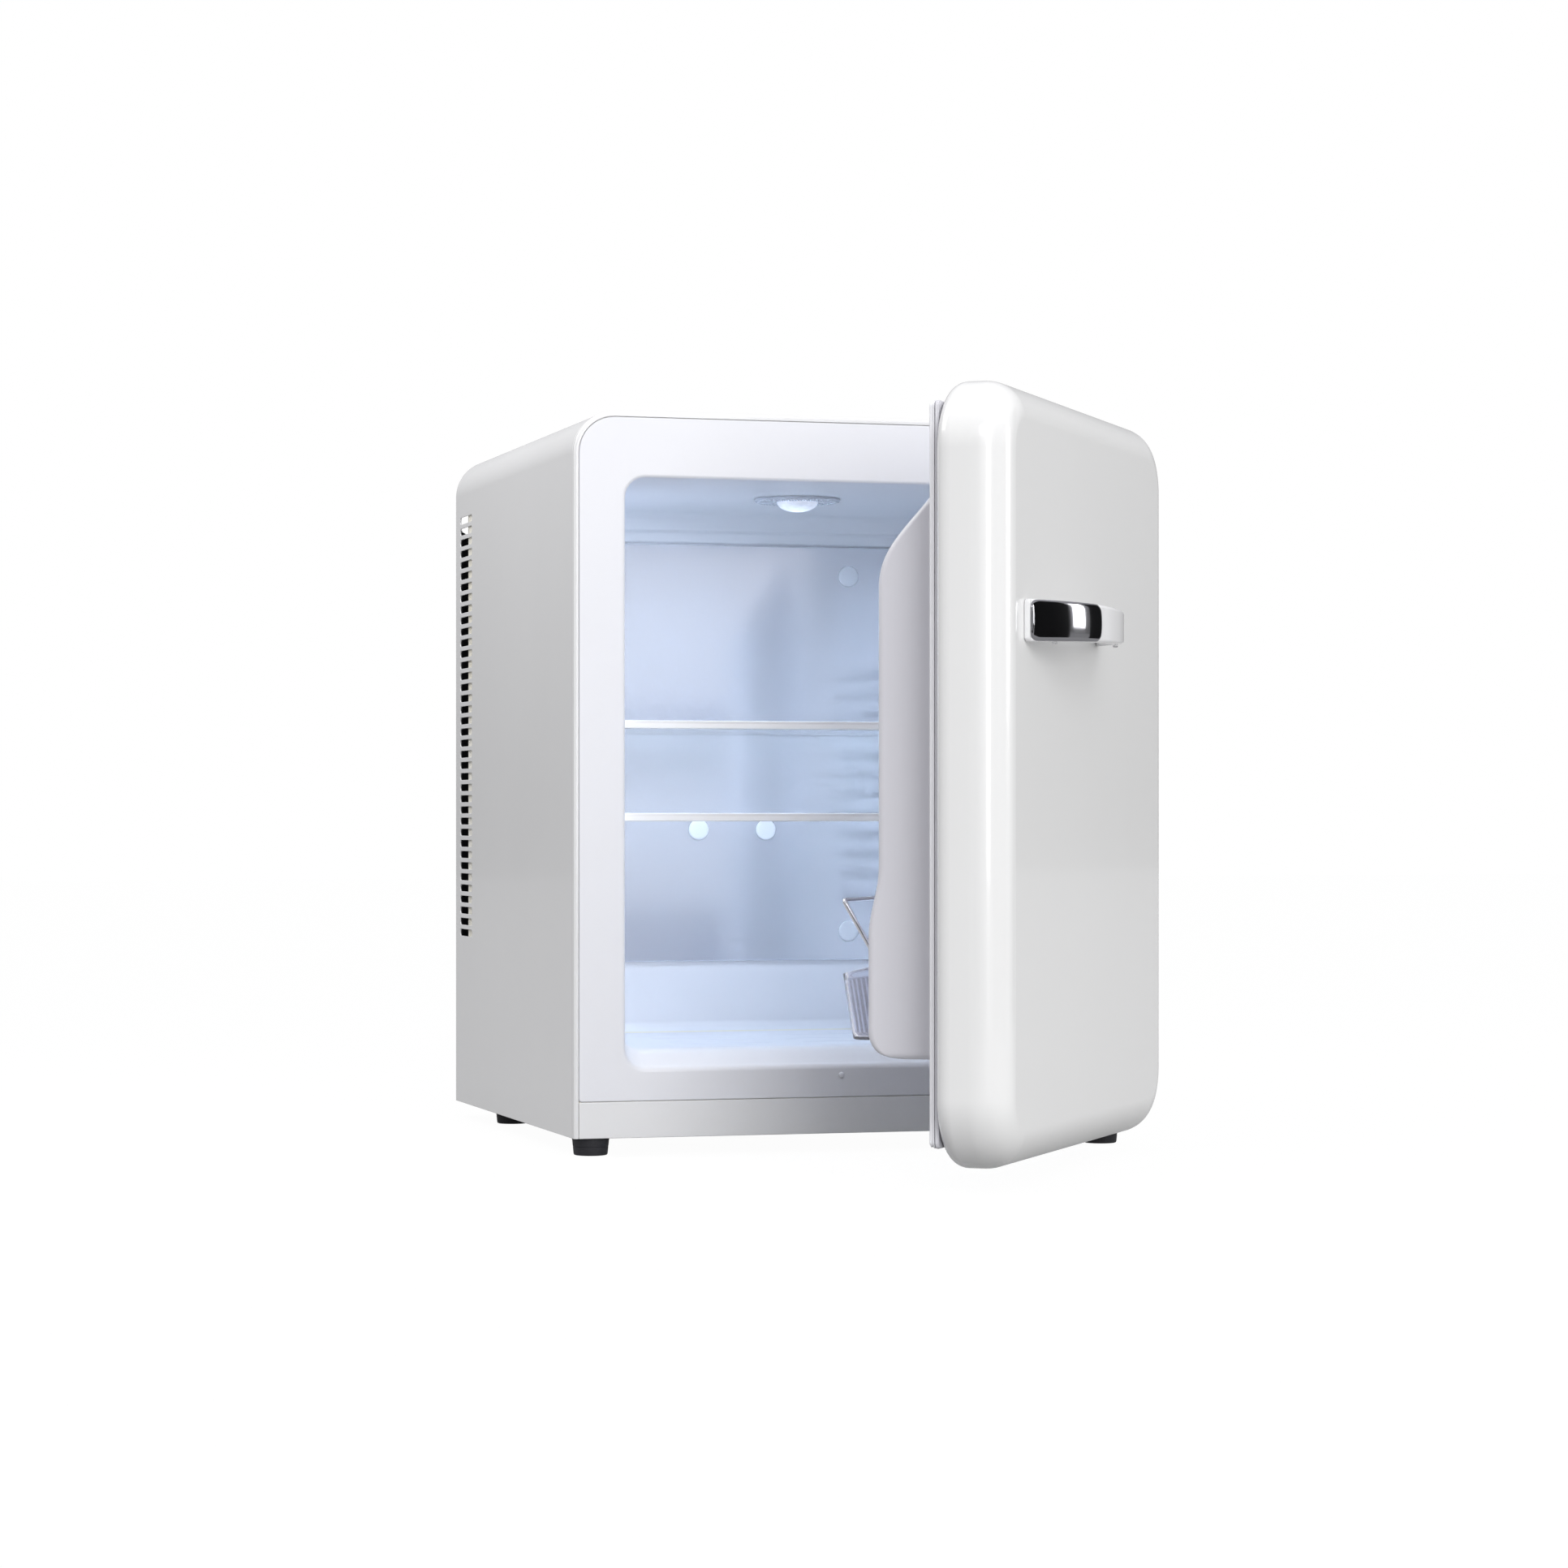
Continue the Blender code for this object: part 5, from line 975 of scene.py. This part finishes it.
def clearBin(name, node):
    # open bin: round upright corners, sloping rim, fine upright ribs on the inside of its front
    tub = {"half": 0.1317, "wall": 0.002, "corner": 0.009, "rear": 0.004, "rib": 0.0007}
    front, side, corner = 96, 14, 8  # points along each run
    look, wall, back = racks[node], tub["wall"], leaf["liner"] + cab["gap"]

    def plan(inset, face):
        r, rear = max(0.0015, tub["corner"] - inset), max(0.001, tub["rear"] - inset)
        x0, y0, y1 = tub["half"] - inset, back + inset, face - inset
        points = [((x0 - r) * (1 - 2 * i / front), y1) for i in range(front + 1)]
        points += arc(r - x0, y1 - r, r, r, 90, 90, corner, 1)
        points += [(-x0, y1 - r + (y0 + rear - y1 + r) * i / side) for i in range(1, side + 1)]
        points += arc(rear - x0, y0 + rear, rear, rear, 180, 90, 4, 1)
        points += [((x0 - rear) * (i / 4 - 1), y0) for i in range(1, 9)]
        points += arc(x0 - rear, y0 + rear, rear, rear, 270, 90, 4, 1)
        points += [(x0, y0 + rear + (y1 - r - y0 - rear) * i / side) for i in range(1, side + 1)]
        return points + arc(x0 - r, y1 - r, r, r, 0, 90, corner, 1)[:-1]

    foot, mouth = leaf["liner"] + look["foot"], leaf["liner"] + look["mouth"]

    def level(inset, share, drop, ribs=False):
        face = foot + (mouth - foot) * share
        ring = []
        for i, (x, y) in enumerate(plan(inset, face)):
            toBack = min(1.0, max(0.0, (face - y) / (face - back)))
            rim = look["frontHigh"] + (look["backHigh"] - look["frontHigh"]) * toBack
            z = look["bottom"] + (rim - drop) * share if share > 0.04 else look["bottom"] + drop
            ribbed = ribs and i <= front and i % 4 in (1, 2)
            ring.append(Vector((x, y - tub["rib"] if ribbed else y, z)))
        return ring

    levels = [(0.0016, 0.0, 0.0), (0.0004, 0.0, 0.0005), (0.0, 0.0, 0.0016)]
    levels += [(0.0, share, 0.0) for share in (0.2, 0.4, 0.6, 0.8, 0.93)]
    levels += [(0.0, 1.0, 0.0006), (0.0005, 1.0, 0.0), (wall + 0.0006, 1.0, 0.0), (wall + 0.0011, 1.0, 0.0006),
               (wall + 0.0011, 0.95, 0.0), (wall, 0.91, 0.0)]
    levels += [(wall, share, 0.0, True) for share in (0.88, 0.6, 0.3, 0.12)]
    levels += [(wall, 0.0, 0.0036), (wall + 0.0008, 0.0, 0.0023), (wall + 0.003, 0.0, wall)]
    piece(name, skin([level(*one) for one in levels]), "bin_plastic", node, (node,), doorPlace)


clearBin("bottle_rack", "bottle_bin")
clearBin("upper_rack", "upper_bin")


def bottleWire():
    wire = {"radius": 0.0017, "side": 0.1257, "end": 0.1294, "y": 0.0592, "z": 0.096, "bend": 0.04, "rise": 0.043,
            "lean": 0.0255}
    y, z = wire["y"], wire["z"]
    bend, reach, top = z + wire["bend"], y + wire["lean"], z + wire["bend"] + wire["rise"]
    side, end = wire["side"], wire["end"]
    corners = [Vector(p) for p in ((-end, y, z), (-side, y, z), (-side, y, bend), (-side, reach, top),
                                   (side, reach, top), (side, y, bend), (side, y, z), (end, y, z))]
    piece("wire_stop", hose(bentRoute(corners, 0.005), wire["radius"]), "wire_chrome", "bottle_wire",
          ("bottle_wire",), doorPlace)


bottleWire()
print("door racks done")


# Hinges, and the cooling unit in the rear chamber
for end in ("bottom", "top"):
    rounded("hinge_bracket_" + end, "hinge_steel", (0.0003, 2))
    rounded("hinge_pin_" + end, "hinge_steel", (0.0003, 2, 60))
    rounded("hinge_screw_" + end, "screw_steel", None)
    rounded("hinge_bush_" + end, "bush_plastic", (0.0002, 2, 60))
rounded("heat_sink", "black_aluminium", (0.0002, 2))
for node, edge in (("fan_frame", (0.0004, 2, 50)), ("control_box", (0.0012, 3)), ("power_inlet", (0.0004, 2, 60)),
                   ("temperature_dial", (0.0003, 2, 60))):
    rounded(node, "black_plastic", edge)


def fanRotor():
    # hub with a soft edge and curved blades twisted from root to tip
    fan = {"hub": 0.0155, "tip": 0.0362, "blades": 7, "thick": 0.0011, "root": 48.0, "end": 66.0, "chord": 0.0135,
           "curl": 0.0016, "sweep": 0.25}
    low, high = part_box("fan_rotor")
    centre, long = (low + high) / 2, high.y - low.y
    hub, inner = fan["hub"], fan["hub"] * 0.93
    profile = [(0, 0), (hub - 0.0012, 0), (hub - 0.0003, 0.0004), (hub, 0.0014), (hub, long - 0.0014),
               (hub - 0.0003, long - 0.0004), (hub - 0.0012, long), (0, long)]
    parts = [lathe(profile, (centre.x, low.y, centre.z), (0, 1, 0))]
    for blade in range(fan["blades"]):
        turn = Matrix.Rotation(2 * math.pi * blade / fan["blades"], 3, "Y")
        rings = []
        for share in (i / 8 for i in range(9)):
            radius = inner + (fan["tip"] - inner) * share
            lean = math.radians(fan["root"] + (fan["end"] - fan["root"]) * share)
            chord = fan["chord"] * (0.8 + 0.5 * share)
            outline = [(t * chord / 2, fan["curl"] * (1 - t * t) + side * fan["thick"] / 2 * (1 - 0.6 * abs(t)))
                       for side in (1, -1) for t in (side * (j / 4 - 1) for j in range(9))]
            ring = []
            for c, h in outline:
                around = (c * math.sin(lean) - h * math.cos(lean)) / radius + fan["sweep"] * share
                deep = max(-long * 0.46, min(long * 0.46, c * math.cos(lean) + h * math.sin(lean)))
                ring.append(turn @ Vector((radius * math.cos(around), deep, radius * math.sin(around))) + centre)
            rings.append(ring)
        parts.append(skin(rings))
    piece("fan_blades", joined(parts), "black_plastic", "fan", ("fan_rotor",), asPacked)


fanRotor()

# CAD nodes that keep their own mesh
kept = {"cold_block": "bare_aluminium", "thermoelectric_module": "module_ceramic", "insulation_foam": "foam",
        "door_foam": "foam", "lamp_housing": "liner_plastic", "led_board": "board"}
for name, slot in kept.items():
    mesh = nodes[name].data
    mesh.materials.clear()
    mesh.materials.append(finishes[slot])
print("cooling unit done")


# Floor, background and light
stage = {"floor": 0.28, "floorSize": 14.0, "floorGlow": 0.9, "glow": 1.08, "inGloss": 0.3, "inGlass": 0.8,
         "most": 0.94, "air": 0.28, "airTop": 0.88, "horizon": 0.5, "zenith": 0.92}


def sheetObject(name, size, matrix, finish):
    mesh = bmesh.new()
    bmesh.ops.create_grid(mesh, x_segments=2, y_segments=2, size=size)
    made = shapeObject(name, mesh, matrix)
    made.data.materials.append(finish.material)
    return made


floorLook = Finish("floor_card", {"Roughness": 0.9})
floorLook.shade(1 - floorLook.noise(0.8), (stage["floor"],) * 3, 0.02)
white = floorLook.node("ShaderNodeEmission", None, {"Color": tone((1.0, 1.0, 1.0)), "Strength": stage["glow"]})
bright = (floorLook.ray("Camera") * stage["floorGlow"] + floorLook.ray("Glossy") * stage["inGloss"]
          + floorLook.ray("Transmission") * stage["inGlass"])
floorLook.finishWith("Material Output", floorLook.mixShader(
    floorLook.sum("MINIMUM", bright, stage["most"]), Sock(floorLook, floorLook.shader.outputs[0]), white))
sheetObject("floor", stage["floorSize"], asPacked, floorLook)

world = bpy.data.worlds.new("studio")
bpy.context.scene.world = world
world.use_nodes = True
world.node_tree.nodes.remove(world.node_tree.nodes["Background"])
sky = Graph(world.node_tree)
height = sky.node("ShaderNodeSeparateXYZ", None, {0: sky.node("ShaderNodeTexCoord", output="Generated")}, "Z")
shades = [(stage["horizon"], tone((stage["air"],) * 3)),
          (stage["zenith"], tone((stage["airTop"], stage["airTop"], stage["airTop"] * 1.03)))]
air = sky.node("ShaderNodeBackground", None, {
    "Color": sky.node("ShaderNodeValToRGB", {"stops": shades}, {0: height * 0.5 + 0.5})})
backdrop = sky.node("ShaderNodeBackground", None, {"Color": tone((1.0, 1.0, 1.0))})
sky.finishWith("World Output", sky.mixShader(
    sky.sum("MAXIMUM", sky.ray("Camera"), sky.ray("Transmission")), air, backdrop))


def lamp(name, kind, at, to, power, size, colour=(1.0, 1.0, 1.0)):
    data = bpy.data.lights.new(name, kind)
    data.energy, data.color = power, colour
    if kind == "AREA":
        data.shape = "RECTANGLE"
        data.size, data.size_y = size
    else:
        data.shadow_soft_size = size
    made = bpy.data.objects.new(name, data)
    bpy.context.scene.collection.objects.link(made)
    made.location = at
    made.rotation_euler = (Vector(to) - Vector(at)).to_track_quat("-Z", "Y").to_euler()
    return made


lamp("key_front", "AREA", (0.05, -3.2, 1.3), (0.0, -0.1, 0.28), 61.0, (1.6, 2.4))
lamp("strip_right", "AREA", (1.99, -0.814, 0.8), (0.05, -0.33, 0.5), 8.5, (0.42, 0.8))
lamp("top_left", "AREA", (-0.8, 0.12, 1.15), (-0.25, 0.15, 0.42), 5.8, (0.6, 0.6))
inside = (0.70, 0.82, 1.0)
glow = lamp("cavity_glow", "AREA", cabinetPlace @ Vector((-0.06, 0.17, cavity["top"] - 0.012)),
            cabinetPlace @ Vector((-0.09, 0.19, 0.0)), 0.72, (0.05, 0.05), inside)
halo = lamp("dome_glow", "POINT", cabinetPlace @ Vector((0.0, cavity["lampY"], cavity["top"] - 0.02)),
            (0.0, 0.0, 0.0), 0.012, 0.012, inside)
glow.visible_glossy = halo.visible_glossy = halo.visible_camera = False

# dark cards stand around for the bright metal and the gloss; the camera and the floor don't see them
darkLook = Finish("card_black", {"Base Color": tone((0.01, 0.01, 0.011)), "Roughness": 0.95})
for name, at, (wide, tall), turn in (("card_front", (-0.55, -2.1, 0.45), (1.3, 1.6), -15.0),
                                     ("card_right", (1.47, -1.68, 0.5), (1.5, 2.4), 45.5),
                                     ("card_edge", (2.12, 0.02, 0.5), (0.9, 2.0), 99.0)):
    place = (Matrix.Translation(at) @ Matrix.Rotation(math.radians(turn), 4, "Z")
             @ Matrix.Rotation(math.radians(90), 4, "X") @ Matrix.Diagonal((wide, tall, 1.0, 1.0)))
    card = sheetObject(name, 0.5, place, darkLook)
    card.visible_camera = card.visible_diffuse = card.visible_shadow = card.visible_transmission = False
print("light done")
